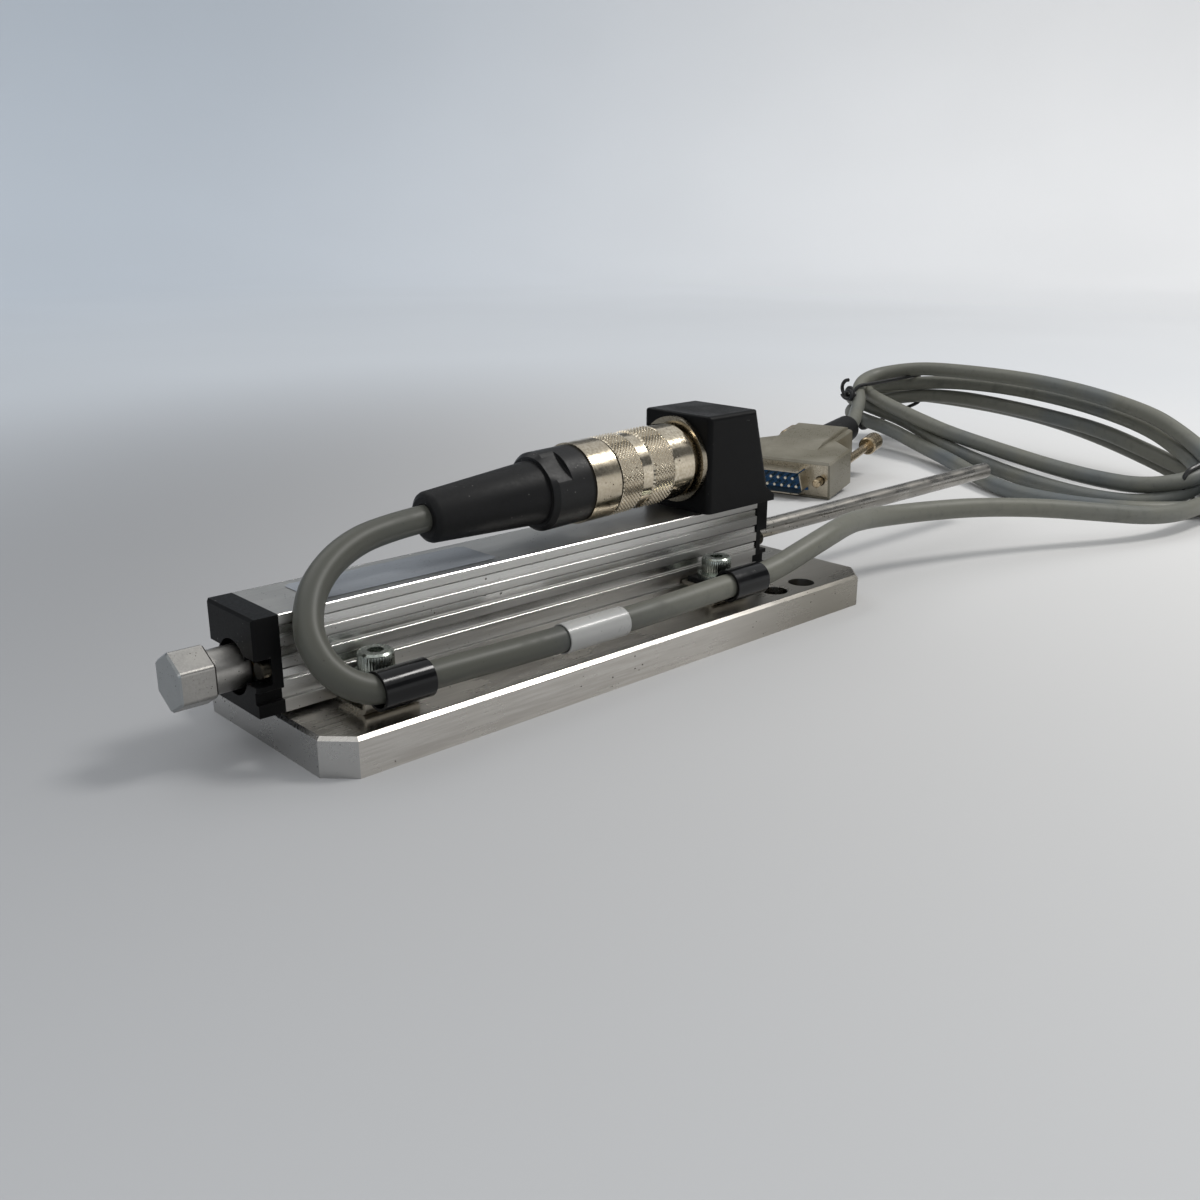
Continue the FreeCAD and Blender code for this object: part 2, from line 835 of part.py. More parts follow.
def make_receptacle_insert():
    back = -dim("socket_depth")
    radius = dim("insert_radius")
    return turned("receptacle_insert", [
        (back, ZERO), (back, radius), (dim("insert_face"), radius), (dim("insert_face"), ZERO),
    ])


def make_receptacle_pins():
    body = new_body("receptacle_pins")
    sketch = sketch_on(body, "YZ_Plane", dim("insert_face"))
    circle(sketch, ZERO, dim("pin_circle"), dim("pin_radius"))
    pin = pad(body, sketch, dim("pin_length"))
    ring_of(body, [pin], 5)
    return body


def make_coupling_ring():
    bore = dim("barrel_radius") + dim("ring_gap")
    grip = dim("ring_grip_radius")
    band = dim("ring_band_radius")
    rim = dim("ring_rim_radius")
    edge = 0.4
    return turned("coupling_ring", [
        (dim("ring_front"), bore), (dim("ring_front"), rim - edge), (dim("ring_front") + edge, rim),
        (dim("ring_rim_end"), rim), (dim("ring_rim_end"), grip),
        (dim("ring_band_start"), grip), (dim("ring_band_start"), band),
        (dim("ring_band_end"), band), (dim("ring_band_end"), grip),
        (dim("ring_end") - edge, grip), (dim("ring_end"), grip - edge), (dim("ring_end"), bore),
    ])


def make_plug_sleeve():
    bore = dim("insert_radius") + dim("seat_fit")
    front = dim("barrel_end") + 1
    step = dim("ring_end") + dim("ring_gap")
    radius = dim("sleeve_radius")
    edge = 0.3
    return turned("plug_sleeve", [
        (front, bore), (front, dim("barrel_radius")), (step, dim("barrel_radius")),
        (step, radius - edge), (step + edge, radius), (dim("sleeve_end"), radius), (dim("sleeve_end"), bore),
    ])


def make_plug_insert():
    face = dim("insert_face") + dim("ring_gap")
    radius = dim("insert_radius")
    body = turned("plug_insert", [
        (face, ZERO), (face, radius), (dim("sleeve_end"), radius), (dim("sleeve_end"), ZERO),
    ])
    sketch = sketch_on(body, "YZ_Plane", face)
    circle(sketch, ZERO, dim("pin_circle"), dim("pin_radius") + 0.2)
    hole = pocket(body, sketch, dim("pin_length") + 1, forward=True)
    ring_of(body, [hole], 5)
    return body


def make_back_nut():
    bore = dim("cable_radius") + 1.5
    neck = dim("nut_neck")
    radius = dim("nut_radius")
    start = dim("sleeve_end")
    end = dim("nut_end")
    body = turned("back_nut", [
        (start, bore), (start, radius), (start + 4, radius), (start + 5.6, neck),
        (end - 0.5, neck), (end, neck - 0.5), (end, bore),
    ])
    flats = sketch_on(body, "YZ_Plane", start + 5.8)
    flat = dim("nut_flat")
    for sign in (-1, 1):
        rectangle(flats, flat * sign, as_size(-10.0), (flat + 3) * sign, as_size(10.0))
    pocket(body, flats, forward=True)
    return body


def make_bend_boot():
    bore = dim("cable_radius") + dim("cable_fit")
    start = dim("nut_end")
    end = dim("boot_end")
    tip = dim("boot_tip_radius")
    turn = dim("boot_round")
    return turned("bend_boot", [
        (start, bore), (start, dim("boot_radius")), (start + 4, dim("boot_radius") - 0.2),
        (end - turn, tip), (end, tip - turn), (end, bore),
    ])


for maker in (make_receptacle, make_receptacle_insert, make_receptacle_pins, make_coupling_ring,
              make_plug_sleeve, make_plug_insert, make_bend_boot):
    keep(on_connector(maker()))
keep(on_connector(make_back_nut(), float(sheet.get("nut_roll"))))

# Plug at the far end, lengths counted back from its mating face


def plug_axis():
    tilt = FreeCAD.Rotation(Y_AXIS, -float(sheet.get("plug_tilt")))
    return FreeCAD.Rotation(Z_AXIS, float(sheet.get("plug_turn"))).multiply(tilt)


def on_plug(body):
    return place(body, dim("plug_x"), dim("plug_y"), ZERO, plug_axis())


plug_level = dim("hood_thickness") / 2
hood_front = -dim("hood_lip")


def hood_outline():
    wide = dim("hood_width") / 2
    narrow = dim("hood_back_width") / 2
    shoulder = dim("hood_front_length") + dim("hood_shoulder")
    return [
        (hood_front, -wide), (dim("hood_front_length"), -wide), (shoulder, -narrow),
        (dim("hood_length"), -narrow), (dim("hood_length"), narrow), (shoulder, narrow),
        (dim("hood_front_length"), wide), (hood_front, wide),
    ]


def cut_hood_seats(body):
    """The seats of the shell, the insulator and the jack screws."""
    plate_half = dim("shell_plate_width") / 2 + 0.1
    plate_rise = dim("shell_plate_height") / 2 + 0.1
    seat = sketch_on(body, "YZ_Plane", hood_front - 1)
    rectangle(seat, -plate_half, plug_level - plate_rise, plate_half, plug_level + plate_rise)
    pocket(body, seat, dim("shell_plate") + dim("hood_lip") + 1, forward=True)
    inner = sketch_on(body, "YZ_Plane", hood_front)
    half = dim("shell_width") / 2
    rise = dim("shell_height") / 2
    rectangle(inner, -half, plug_level - rise, half, plug_level + rise)
    pocket(body, inner, dim("insulator_back") + dim("hood_lip") + 0.2, forward=True)
    jacks = sketch_on(body, "YZ_Plane", hood_front)
    for sign in (-1, 1):
        circle(jacks, dim("jack_offset") * sign, plug_level, dim("jack_hole"))
    pocket(body, jacks, forward=True)


def make_hood_lower():
    body = new_body("dsub_hood_lower")
    sketch = sketch_on(body, "XY_Plane")
    outline(sketch, hood_outline())
    slab = pad(body, sketch, plug_level)
    low_edges = edge_names(slab, lambda point: near(point.z, 0))
    soften(body, "Chamfer", slab, low_edges, dim("hood_edge"))
    cut_hood_seats(body)
    return body


def make_hood_upper():
    body = new_body("dsub_hood_upper")
    sketch = sketch_on(body, "XY_Plane", plug_level)
    outline(sketch, hood_outline())
    slab = pad(body, sketch, plug_level)
    top = dim("hood_thickness")
    top_edges = edge_names(slab, lambda point: near(point.z, top))
    soften(body, "Chamfer", slab, top_edges, dim("hood_edge"))
    raised = sketch_on(body, "XZ_Plane")
    start = dim("hood_front_length") - 6
    end = dim("hood_length") - dim("hood_edge")
    outline(raised, [
        (start, top - 1), (start, top), (start + 7, top + dim("hood_rise")), (end - 3, top + dim("hood_rise")),
        (end, top + 0.6), (end, top - 1),
    ])
    hump = pad(body, raised, dim("hood_back_width") - 3, both_sides=True)
    crest = edge_names(hump, lambda point: near(point.z, top + dim("hood_rise")))
    crest = [name for name in crest if name in along(hump, X_AXIS)]
    soften(body, "Fillet", hump, crest, dim("hood_edge"))
    cut_hood_seats(body)
    return body


def shell_corners(margin):
    """Corners of the shell's outline, wider at the bottom, drawn in by a margin."""
    half = dim("shell_width") / 2 - margin
    rise = dim("shell_height") / 2 - margin
    upper = half - dim("shell_taper")
    return [
        (-half, plug_level - rise), (half, plug_level - rise),
        (upper, plug_level + rise), (-upper, plug_level + rise),
    ]


def make_shell():
    body = new_body("dsub_shell")
    rim = sketch_on(body, "YZ_Plane", -dim("shell_length"))
    outline(rim, shell_corners(0))
    tube = pad(body, rim, dim("shell_length") + dim("shell_plate"))
    soften(body, "Fillet", tube, along(tube, X_AXIS), dim("shell_corner"))
    face = sketch_on(body, "YZ_Plane")
    half = dim("shell_plate_width") / 2
    rise = dim("shell_plate_height") / 2
    rectangle(face, -half, plug_level - rise, half, plug_level + rise)
    for sign in (-1, 1):
        circle(face, dim("jack_offset") * sign, plug_level, dim("jack_hole"))
    pad(body, face, dim("shell_plate"))
    hollow = sketch_on(body, "YZ_Plane", -dim("shell_length"))
    outline(hollow, shell_corners(dim("shell_wall")))
    pocket(body, hollow, forward=True)
    return body


def make_insulator():
    body = new_body("dsub_insulator")
    sketch = sketch_on(body, "YZ_Plane", -dim("insulator_front"))
    outline(sketch, shell_corners(dim("shell_wall") + dim("seat_fit")))
    pad(body, sketch, dim("insulator_front") + dim("insulator_back"))
    return body


def make_plug_pins():
    body = new_body("dsub_pins")
    sketch = sketch_on(body, "YZ_Plane", -dim("contact_reach"))
    for count, row in ((8, -1), (7, 1)):
        for step in range(count):
            y = dim("contact_pitch") * (step - (count - 1) / 2)
            circle(sketch, y, plug_level + dim("contact_row") * row, dim("contact_radius"))
    pad(body, sketch, dim("contact_reach") - dim("insulator_front"))
    return body


def make_thumbscrew(name, side):
    body = new_body(name)
    shaft = dim("jack_radius")
    knob = dim("knob_radius")
    front = -dim("jack_front")
    start = dim("knob_start")
    end = start + dim("knob_length")
    sketch = sketch_on(body, "XY_Plane", plug_level, ZERO, dim("jack_offset") * side)
    outline(sketch, [
        (front, ZERO), (front, shaft - 0.4), (front + 0.4, shaft), (start, shaft), (start, knob - 0.5),
        (start + 0.5, knob), (end - 0.8, knob), (end, knob - 0.8), (end, ZERO),
    ])
    revolve(body, sketch, "H_Axis")
    return body


def make_plug_boot():
    bore = dim("cable_radius") + dim("cable_fit")
    start = dim("hood_length")
    end = start + dim("plug_boot_length")
    body = new_body("dsub_boot")
    sketch = sketch_on(body, "XY_Plane", plug_level)
    outline(sketch, [
        (start, bore), (start, dim("plug_boot_radius")), (start + 5, dim("plug_boot_radius")),
        (end - 0.8, dim("plug_boot_tip")), (end, dim("plug_boot_tip") - 0.8), (end, bore),
    ])
    revolve(body, sketch, "H_Axis")
    return body


for piece in (make_hood_lower(), make_hood_upper(), make_shell(), make_insulator(), make_plug_pins(),
              make_thumbscrew("dsub_thumbscrew_near", -1), make_thumbscrew("dsub_thumbscrew_far", 1),
              make_plug_boot()):
    keep(on_plug(piece))

# Cable

# From the bend boot through the two clips and beside the rod to the coil
LEAD_ROUTE = [
    (-35.0, 0.0, 37.92), (-50.8, 0.0, 37.4), (-62.2, -2.3, 35.1), (-70.9, -6.5, 30.6), (-75.6, -12.1, 24.8),
    (-75.6, -16.5, 20.1), (-74.0, -19.2, 17.3), (-71.0, -21.3, 15.1), (-67.1, -22.4, 13.9), (-53.6, -22.4, 13.9),
    (-28.6, -22.65, 13.35), (3.4, -22.65, 13.35), (25.4, -22.4, 13.9), (42.4, -22.4, 14.1), (55.0, -22.9, 17.3),
    (66.0, -22.4, 19.4), (79.0, -19.2, 19.8), (92.0, -15.6, 18.2), (106.0, -14.8, 16.7), (120.0, -17.2, 16.0),
    (138.0, -22.6, 15.2), (160.0, -31.0, 12.9), (180.0, -41.0, 9.9), (196.0, -48.3, 7.4), (212.0, -51.8, 6.5),
    (230.0, -51.5, 6.4), (243.5, -48.6, 8.6), (253.5, -42.6, 11.4),
]

# From the plug to the coil
TAIL_ROUTE = [
    (220.35, 87.06, 13.56), (233.8, 90.72, 15.1), (248.0, 99.0, 17.3), (262.0, 108.8, 19.0),
]


def route_wire(points):
    """Straight runs joined by arcs that touch them, and the arcs' radii."""
    corners = [FreeCAD.Vector(*point) for point in points]
    edges = []
    radii = []
    start = corners[0]
    for before, corner, after in zip(corners, corners[1:], corners[2:]):
        incoming = (before - corner).normalize()
        outgoing = (after - corner).normalize()
        half_turn = (math.pi - incoming.getAngle(outgoing)) / 2
        reach = 0.45 * min((before - corner).Length, (after - corner).Length)
        radius = reach / math.tan(half_turn)
        entry = corner + incoming * reach
        leave = corner + outgoing * reach
        bisector = (incoming + outgoing).normalize()
        middle = corner + bisector * (radius / math.cos(half_turn) - radius)
        edges.append(Part.LineSegment(start, entry).toShape())
        edges.append(Part.Arc(entry, middle, leave).toShape())
        radii.append(radius)
        start = leave
    edges.append(Part.LineSegment(start, corners[-1]).toShape())
    return Part.Wire(edges), radii


def make_tube(name, points):
    wire, radii = route_wire(points)
    radius = float(sheet.get("cable_radius"))
    first = wire.Edges[0]
    section = Part.Wire(Part.Circle(first.valueAt(first.FirstParameter), first.tangentAt(0), radius).toShape())
    tube = doc.addObject("Part::Feature", name)
    tube.Label = name
    tube.Shape = wire.makePipeShell([section], True, True)
    expected = math.pi * radius ** 2 * wire.Length
    print(name, "length", round(wire.Length, 1), "smallest radius", round(min(radii), 1),
          "volume ratio", round(tube.Shape.Volume / expected, 4))
    return tube


def make_marker():
    bore = dim("cable_radius") + dim("cable_fit")
    start = dim("marker_start")
    end = start + dim("marker_length")
    outer = bore + dim("marker_wall")
    marker = turned("cable_marker", [(start, bore), (start, outer), (end, outer), (end, bore)])
    return place(marker, ZERO, -dim("marker_offset"), dim("marker_level"))


def ellipse_block(name, major, minor):
    edge = doc.addObject("Part::Ellipse", f"{name}_edge")
    edge.setExpression("MajorRadius", dim(major).text)
    edge.setExpression("MinorRadius", dim(minor).text)
    block = doc.addObject("Part::Extrusion", name)
    block.Base = edge
    block.Dir = Z_AXIS
    block.DirMode = "Custom"
    block.setExpression("LengthFwd", dim("coil_height").text)
    block.Solid = True
    return block


def make_coil():
    ring = doc.addObject("Part::Cut", "coil_ring")
    ring.Base = ellipse_block("coil_outside", "coil_outer_major", "coil_outer_minor")
    ring.Tool = ellipse_block("coil_inside", "coil_inner_major", "coil_inner_minor")
    doc.recompute()
    coil = doc.addObject("Part::Chamfer", "cable_coil")
    coil.Base = ring
    rims = [number for number, edge in enumerate(ring.Shape.Edges, start=1) if edge.isClosed()
            and near(edge.BoundBox.ZLength, 0)]
    edge_size = float(sheet.get("coil_edge"))
    coil.Edges = [(number, edge_size, edge_size) for number in rims]
    coil.Label = "cable_coil"
    lean = FreeCAD.Rotation(X_AXIS, -float(sheet.get("coil_lean")))
    rise = FreeCAD.Rotation(Y_AXIS, -float(sheet.get("coil_rise")))
    turn = FreeCAD.Rotation(Z_AXIS, float(sheet.get("coil_turn")))
    return place(coil, dim("coil_x"), dim("coil_y"), dim("coil_z"), turn.multiply(rise).multiply(lean))


keep(make_tube("cable_lead", LEAD_ROUTE))
keep(make_tube("cable_tail", TAIL_ROUTE))
keep(make_marker())
keep(make_coil())

# Check and write every piece

doc.recompute()
for item in doc.Objects:
    if "Invalid" in item.State or "Error" in item.State:
        raise RuntimeError(f"{item.Name} did not build: {item.State}")
os.makedirs("parts", exist_ok=True)
for node in nodes:
    if node.Shape.isNull() or not node.Shape.isValid():
        raise RuntimeError(f"{node.Label} has no valid shape")
    node.Shape.exportStep(f"parts/{node.Label}.step")
    print(node.Label, "solids", len(node.Shape.Solids), "volume", round(node.Shape.Volume, 1))
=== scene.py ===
"""Linear position sensor on its mounting plate, with its round connector, cable, coil and flat plug."""

import logging
import math
from dataclasses import dataclass, field, replace
from enum import Enum

import bpy
from bpy.types import Material, Node, NodeSocket, Object
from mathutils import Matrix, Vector


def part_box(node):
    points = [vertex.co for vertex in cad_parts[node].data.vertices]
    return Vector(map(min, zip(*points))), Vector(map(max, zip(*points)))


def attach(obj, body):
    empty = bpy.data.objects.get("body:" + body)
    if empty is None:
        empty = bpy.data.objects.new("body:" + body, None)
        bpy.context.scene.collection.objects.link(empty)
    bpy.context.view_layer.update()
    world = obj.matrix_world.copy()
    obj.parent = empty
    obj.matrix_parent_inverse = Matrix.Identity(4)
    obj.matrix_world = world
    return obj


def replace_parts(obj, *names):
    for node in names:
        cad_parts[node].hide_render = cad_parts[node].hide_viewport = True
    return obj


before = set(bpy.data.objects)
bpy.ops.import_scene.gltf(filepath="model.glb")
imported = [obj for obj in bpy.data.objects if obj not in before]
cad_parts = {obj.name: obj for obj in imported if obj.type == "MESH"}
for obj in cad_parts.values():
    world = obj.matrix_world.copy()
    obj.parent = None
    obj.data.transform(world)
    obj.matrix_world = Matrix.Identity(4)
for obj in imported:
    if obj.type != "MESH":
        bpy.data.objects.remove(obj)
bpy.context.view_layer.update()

LOG = logging.getLogger("linear_sensor")
Tone = tuple[float, float, float]
Triple = tuple[float, float, float]
Pair = tuple[float, float]
MM = 0.001
FULL_TURN = 2.0 * math.pi
EVEN: Triple = (1.0, 1.0, 1.0)
WHOLE: Pair = (0.0, 1.0)
MOST: Pair = (0.2, 0.8)


class Body(Enum):
    """Moving groups that take pieces."""

    SENSOR = "sensor"
    RING = "coupling_ring"


class Slot(Enum):
    """Material slots of the pieces."""

    SCREW = "screw_steel"
    PROFILE = "profile_aluminium"
    NICKEL = "connector_nickel"
    NUT = "nut_plastic"
    BOOT = "boot_rubber"
    JACKET = "cable_jacket"


def metres(values: Triple) -> Vector:
    """Gives a point written in millimetres as a vector in metres."""
    return Vector(values) * MM


def circle(count: int) -> list[Pair]:
    """Gives the cosine and sine of evenly spaced turns."""
    turns = [FULL_TURN * step / count for step in range(count)]
    return [(math.cos(turn), math.sin(turn)) for turn in turns]


class Surface:
    """Shader graph of one finish, with a principled shader at its end."""

    OCTAVE_FALL = 0.55
    SPECK_CORE = 0.6
    SPECK_PATCH = 0.23
    SPECK_SPAN: Pair = (0.68, 0.74)
    SPECK_REACH = 0.4
    EDGE_SPAN: Pair = (0.995, 0.86)
    EDGE_SAMPLES = 4
    MIX_FIRST, MIX_SECOND, MIX_RESULT = 6, 7, 2

    def __init__(self, name: str) -> None:
        """Starts the graph.

        Args:
            name: Name of the material.
        """
        self.material: Material = bpy.data.materials.new(name)
        self.material.use_nodes = True
        self.tree = self.material.node_tree
        self.tree.nodes.clear()
        self.shader: Node = self.tree.nodes.new("ShaderNodeBsdfPrincipled")
        output = self.tree.nodes.new("ShaderNodeOutputMaterial")
        self.feed(output.inputs["Surface"], self.shader.outputs["BSDF"])
        self.place = self.node("TexCoord", "Object", {})
        self.soft_normal: NodeSocket | None = None

    def feed(self, socket: NodeSocket, value: object) -> None:
        """Links a socket to another, or sets it to a number or colour.

        Args:
            socket: Input to fill.
            value: Output socket, number or colour.
        """
        if isinstance(value, NodeSocket):
            self.tree.links.new(value, socket)
        elif isinstance(value, tuple) and len(value) == 3 and socket.type == "RGBA":
            socket.default_value = (*value, 1.0)
        else:
            socket.default_value = value

    def fill(self, **values: object) -> None:
        """Fills the shader's own sockets, named with _ for spaces."""
        for name, value in values.items():
            self.feed(self.shader.inputs[name.replace("_", " ")], value)

    def node(self, kind: str, output: str | int, inputs: dict[str | int, object], **settings: object) -> NodeSocket:
        """Adds a node.

        Args:
            kind: Kind of node, as Blender names it.
            output: Name or number of the wanted output.
            inputs: Sockets or constants, by the names or numbers of the inputs.
            settings: Choices made on the node itself.

        Returns:
            The wanted output.
        """
        node = self.tree.nodes.new(f"ShaderNode{kind}")
        for name, choice in settings.items():
            setattr(node, name, choice)
        for name, value in inputs.items():
            self.feed(node.inputs[name], value)
        return node.outputs[output]

    def noise(self, scale: float, detail: float = 3.0, stretch: Triple = EVEN) -> NodeSocket:
        """Adds cloudy noise from 0 to 1 of so many features per metre and octaves, stretched along x, y and z."""
        inputs = {"Vector": self.node("Mapping", "Vector", {"Vector": self.place, "Scale": stretch}), "Scale": scale}
        return self.node("TexNoise", "Fac", {**inputs, "Detail": detail, "Roughness": self.OCTAVE_FALL})

    def band(self, value: NodeSocket, span: Pair, start: float = 0.0, end: float = 1.0) -> NodeSocket:
        """Maps a span of a value smoothly onto another, clamped to its start and end."""
        inputs = {"Value": value, "From Min": span[0], "From Max": span[1], "To Min": start, "To Max": end}
        return self.node("MapRange", "Result", inputs, interpolation_type="SMOOTHSTEP")

    def math(self, kind: str, first: object, second: object) -> NodeSocket:
        """Joins two sockets or numbers by the named operation."""
        return self.node("Math", "Value", {0: first, 1: second}, operation=kind)

    def scaled(self, value: NodeSocket, factor: object) -> NodeSocket:
        """Multiplies a value by a socket or number."""
        return self.math("MULTIPLY", value, factor)

    def compare(self, kind: str, first: object, second: object) -> NodeSocket:
        """Gives one number for two vectors by the named operation."""
        return self.node("VectorMath", "Value", {0: first, 1: second}, operation=kind)

    def part(self, vector: NodeSocket, axis: str) -> NodeSocket:
        """Gives the part of a vector along X, Y or Z."""
        return self.node("SeparateXYZ", axis, {0: vector})

    def blend(self, share: NodeSocket, first: object, second: object) -> NodeSocket:
        """Mixes two colours or sockets by the share of the second."""
        inputs = {"Factor": share, self.MIX_FIRST: first, self.MIX_SECOND: second}
        return self.node("Mix", self.MIX_RESULT, inputs, data_type="RGBA")

    def dots(self, scale: float, size: float, share: float) -> NodeSocket:
        """Adds sparse round specks.

        Args:
            scale: Cells per metre.
            size: Radius of a speck in cells.
            share: Share of the surface that has specks, from 0 to 1.

        Returns:
            1 inside a speck and 0 outside.
        """
        away = self.node("TexVoronoi", "Distance", {"Vector": self.place, "Scale": scale})
        speck = self.band(away, (size * self.SPECK_CORE, size), 1.0, 0.0)
        low, high = (end - self.SPECK_REACH * share for end in self.SPECK_SPAN)
        return self.scaled(speck, self.band(self.noise(scale * self.SPECK_PATCH, 2.0), (low, high)))

    def edges(self, width: float) -> NodeSocket:
        """Finds the object's edges and softens them.

        Args:
            width: Width of the softened edge in metres.

        Returns:
            1 on an edge and 0 on a face.
        """
        self.soft_normal = self.node("Bevel", "Normal", {"Radius": width}, samples=self.EDGE_SAMPLES)
        face = self.node("NewGeometry", "Normal", {})
        return self.band(self.compare("DOT_PRODUCT", self.soft_normal, face), self.EDGE_SPAN)

    def uneven(self, patch: NodeSocket, rough: Pair, grain: NodeSocket, ripple: Pair) -> NodeSocket:
        """Gives a roughness that follows patches, with a ripple that follows the grain."""
        return self.math("ADD", self.band(patch, WHOLE, *rough), self.band(grain, MOST, *ripple))

    def relief(self, height: NodeSocket, depth: float) -> None:
        """Raises the surface's fine relief.

        Args:
            height: Relief from 0 to 1.
            depth: Height of the relief in metres.
        """
        inputs = {"Strength": 1.0, "Distance": depth, "Height": height}
        if self.soft_normal is not None:
            inputs["Normal"] = self.soft_normal
        self.fill(Normal=self.node("Bump", "Normal", inputs))


@dataclass(frozen=True)
class MetalFinish:
    """Bare metal with grain, cloudy patches, dark specks and worn edges.

    Faces that look along -X can take a darker, cooler tone of their own, which is painted shade, and the tone can
    darken over a span of X, also painted shade.
    """

    name: str
    tone: Tone
    dull: Tone
    speck: Tone
    rough: Pair
    stretch: Triple = EVEN
    grain: float = 1500.0
    grain_depth: float = 1.2e-6
    cloud: float = 60.0
    speck_scale: float = 700.0
    speck_size: float = 0.22
    speck_share: float = 0.35
    edge: float = 0.00009
    # Painted shade: darker, cooler tone for faces that look along -X.
    ends: Tone | None = None
    # Painted shade: span of X and the darker tone it fades to.
    shade_fade: tuple[Pair, Tone] | None = None
    grain_span: Pair = (0.3, 0.7)
    cloud_span: Pair = (0.34, 0.66)
    cloud_share: float = 0.55
    ends_span: Pair = (-0.75, -0.45)
    ends_share: float = 0.9
    edge_share: float = 0.6
    ripple: Pair = (-0.04, 0.05)
    speck_rough: float = 0.3
    speck_pit: float = 2.0

    def material(self) -> Material:
        """Builds the finish as a material."""
        surface = Surface(self.name)
        grain = surface.noise(self.grain, 4.0, self.stretch)
        cloud = surface.band(surface.noise(self.cloud, 5.0), self.cloud_span)
        speck = surface.dots(self.speck_scale, self.speck_size, self.speck_share)
        edge = surface.edges(self.edge)
        tone = surface.blend(surface.band(grain, self.grain_span), self.dull, self.tone)
        tone = surface.blend(surface.scaled(cloud, self.cloud_share), tone, self.dull)
        # Painted shade: the tone darkens over a span of X.
        if self.shade_fade is not None:
            span, far = self.shade_fade
            tone = surface.blend(surface.band(surface.part(surface.place, "X"), span), tone, far)
        # Painted shade: faces that look along -X take the darker tone.
        if self.ends is not None:
            facing = surface.part(surface.node("NewGeometry", "Normal", {}), "X")
            tone = surface.blend(surface.band(facing, self.ends_span, self.ends_share, 0.0), tone, self.ends)
        tone = surface.blend(surface.scaled(edge, self.edge_share), tone, self.tone)
        tone = surface.blend(speck, tone, self.speck)
        rough = surface.uneven(cloud, self.rough, grain, self.ripple)
        rough = surface.math("ADD", rough, surface.scaled(speck, self.speck_rough))
        surface.fill(Base_Color=tone, Roughness=rough, Metallic=1.0)
        surface.relief(surface.math("SUBTRACT", grain, surface.scaled(speck, self.speck_pit)), self.grain_depth)
        return surface.material


@dataclass(frozen=True)
class PlasticFinish:
    """Moulded plastic or rubber with fine grain, scuffs, dust and polished edges."""

    name: str
    tone: Tone
    scuff: Tone
    rough: Pair
    grain: float = 2200.0
    grain_depth: float = 6e-6
    scuff_share: float = 0.35
    dust: Tone = (0.16, 0.155, 0.145)
    dust_share: float = 0.22
    edge: float = 0.0002
    specular: float = 0.45
    coat: float = 0.0
    patch: float = 55.0
    patch_span: Pair = (0.4, 0.72)
    edge_share: float = 0.55
    dust_scale: float = 900.0
    dust_size: float = 0.17
    dust_cover: float = 0.6
    ripple: Pair = (-0.05, 0.06)
    coat_rough: float = 0.12

    def material(self) -> Material:
        """Builds the finish as a material."""
        surface = Surface(self.name)
        grain = surface.noise(self.grain)
        patch = surface.band(surface.noise(self.patch, 5.0), self.patch_span)
        edge = surface.scaled(surface.edges(self.edge), self.edge_share)
        dust = surface.dots(self.dust_scale, self.dust_size, self.dust_share)
        wear = surface.math("MAXIMUM", surface.scaled(patch, self.scuff_share), edge)
        tone = surface.blend(wear, self.tone, self.scuff)
        tone = surface.blend(surface.scaled(dust, self.dust_cover), tone, self.dust)
        surface.fill(Base_Color=tone, Roughness=surface.uneven(patch, self.rough, grain, self.ripple))
        surface.fill(Specular_IOR_Level=self.specular, Coat_Weight=self.coat, Coat_Roughness=self.coat_rough)
        surface.relief(grain, self.grain_depth)
        return surface.material


@dataclass(frozen=True)
class JacketFinish:
    """Extruded cable jacket, darker towards the sensor, lighter along the plate, and in the coil patched with a bluish
    tone that is painted shade.
    """

    name: str
    sensor_end: tuple[Tone, Tone]
    # The cable's own tone, then a bluish tone that is painted shade in the coil.
    tone_and_coil_shade: tuple[Tone, Tone]
    grime: Tone
    speck: Tone = (0.03, 0.03, 0.028)
    sensor_end_span: Pair = (-0.03, 0.03)
    coil_shade_span: Pair = (0.15, 0.23)
    broad: float = 17.0
    broad_span: Pair = (0.38, 0.62)
    mottle: float = 420.0
    mottle_span: Pair = (0.5, 0.75)
    mottle_share: float = 0.3
    smear: float = 95.0
    smear_span: Pair = (0.56, 0.76)
    smear_share: float = 0.45
    speck_share: float = 0.55
    rough: Pair = (0.44, 0.6)
    specular: float = 0.36
    grain_depth: float = 1.4e-5

    def material(self) -> Material:
        """Builds the finish as a material."""
        surface = Surface(self.name)
        broad = surface.band(surface.noise(self.broad), self.broad_span)
        mottle = surface.noise(self.mottle, 4.0)
        smear = surface.band(surface.noise(self.smear, 5.0), self.smear_span)
        speck = surface.dots(scale=800.0, size=0.15, share=0.25)
        reach = surface.part(surface.place, "X")
        # Darker tones towards the sensor end.
        sensor_end = surface.blend(broad, *self.sensor_end)
        # Painted shade: in the coil, noise patches of the bluish tone stand for the strands' shaded undersides.
        tone_and_coil_shade = surface.blend(surface.scaled(broad, surface.band(reach, self.coil_shade_span)), *self.tone_and_coil_shade)
        tone = surface.blend(surface.band(reach, self.sensor_end_span), sensor_end, tone_and_coil_shade)
        tone = surface.blend(surface.scaled(smear, self.smear_share), tone, self.grime)
        tone = surface.blend(surface.band(mottle, self.mottle_span, 0.0, self.mottle_share), tone, self.grime)
        tone = surface.blend(surface.scaled(speck, self.speck_share), tone, self.speck)
        surface.fill(Base_Color=tone, Roughness=surface.band(smear, WHOLE, *self.rough))
        surface.fill(Specular_IOR_Level=self.specular)
        surface.relief(mottle, self.grain_depth)
        return surface.material


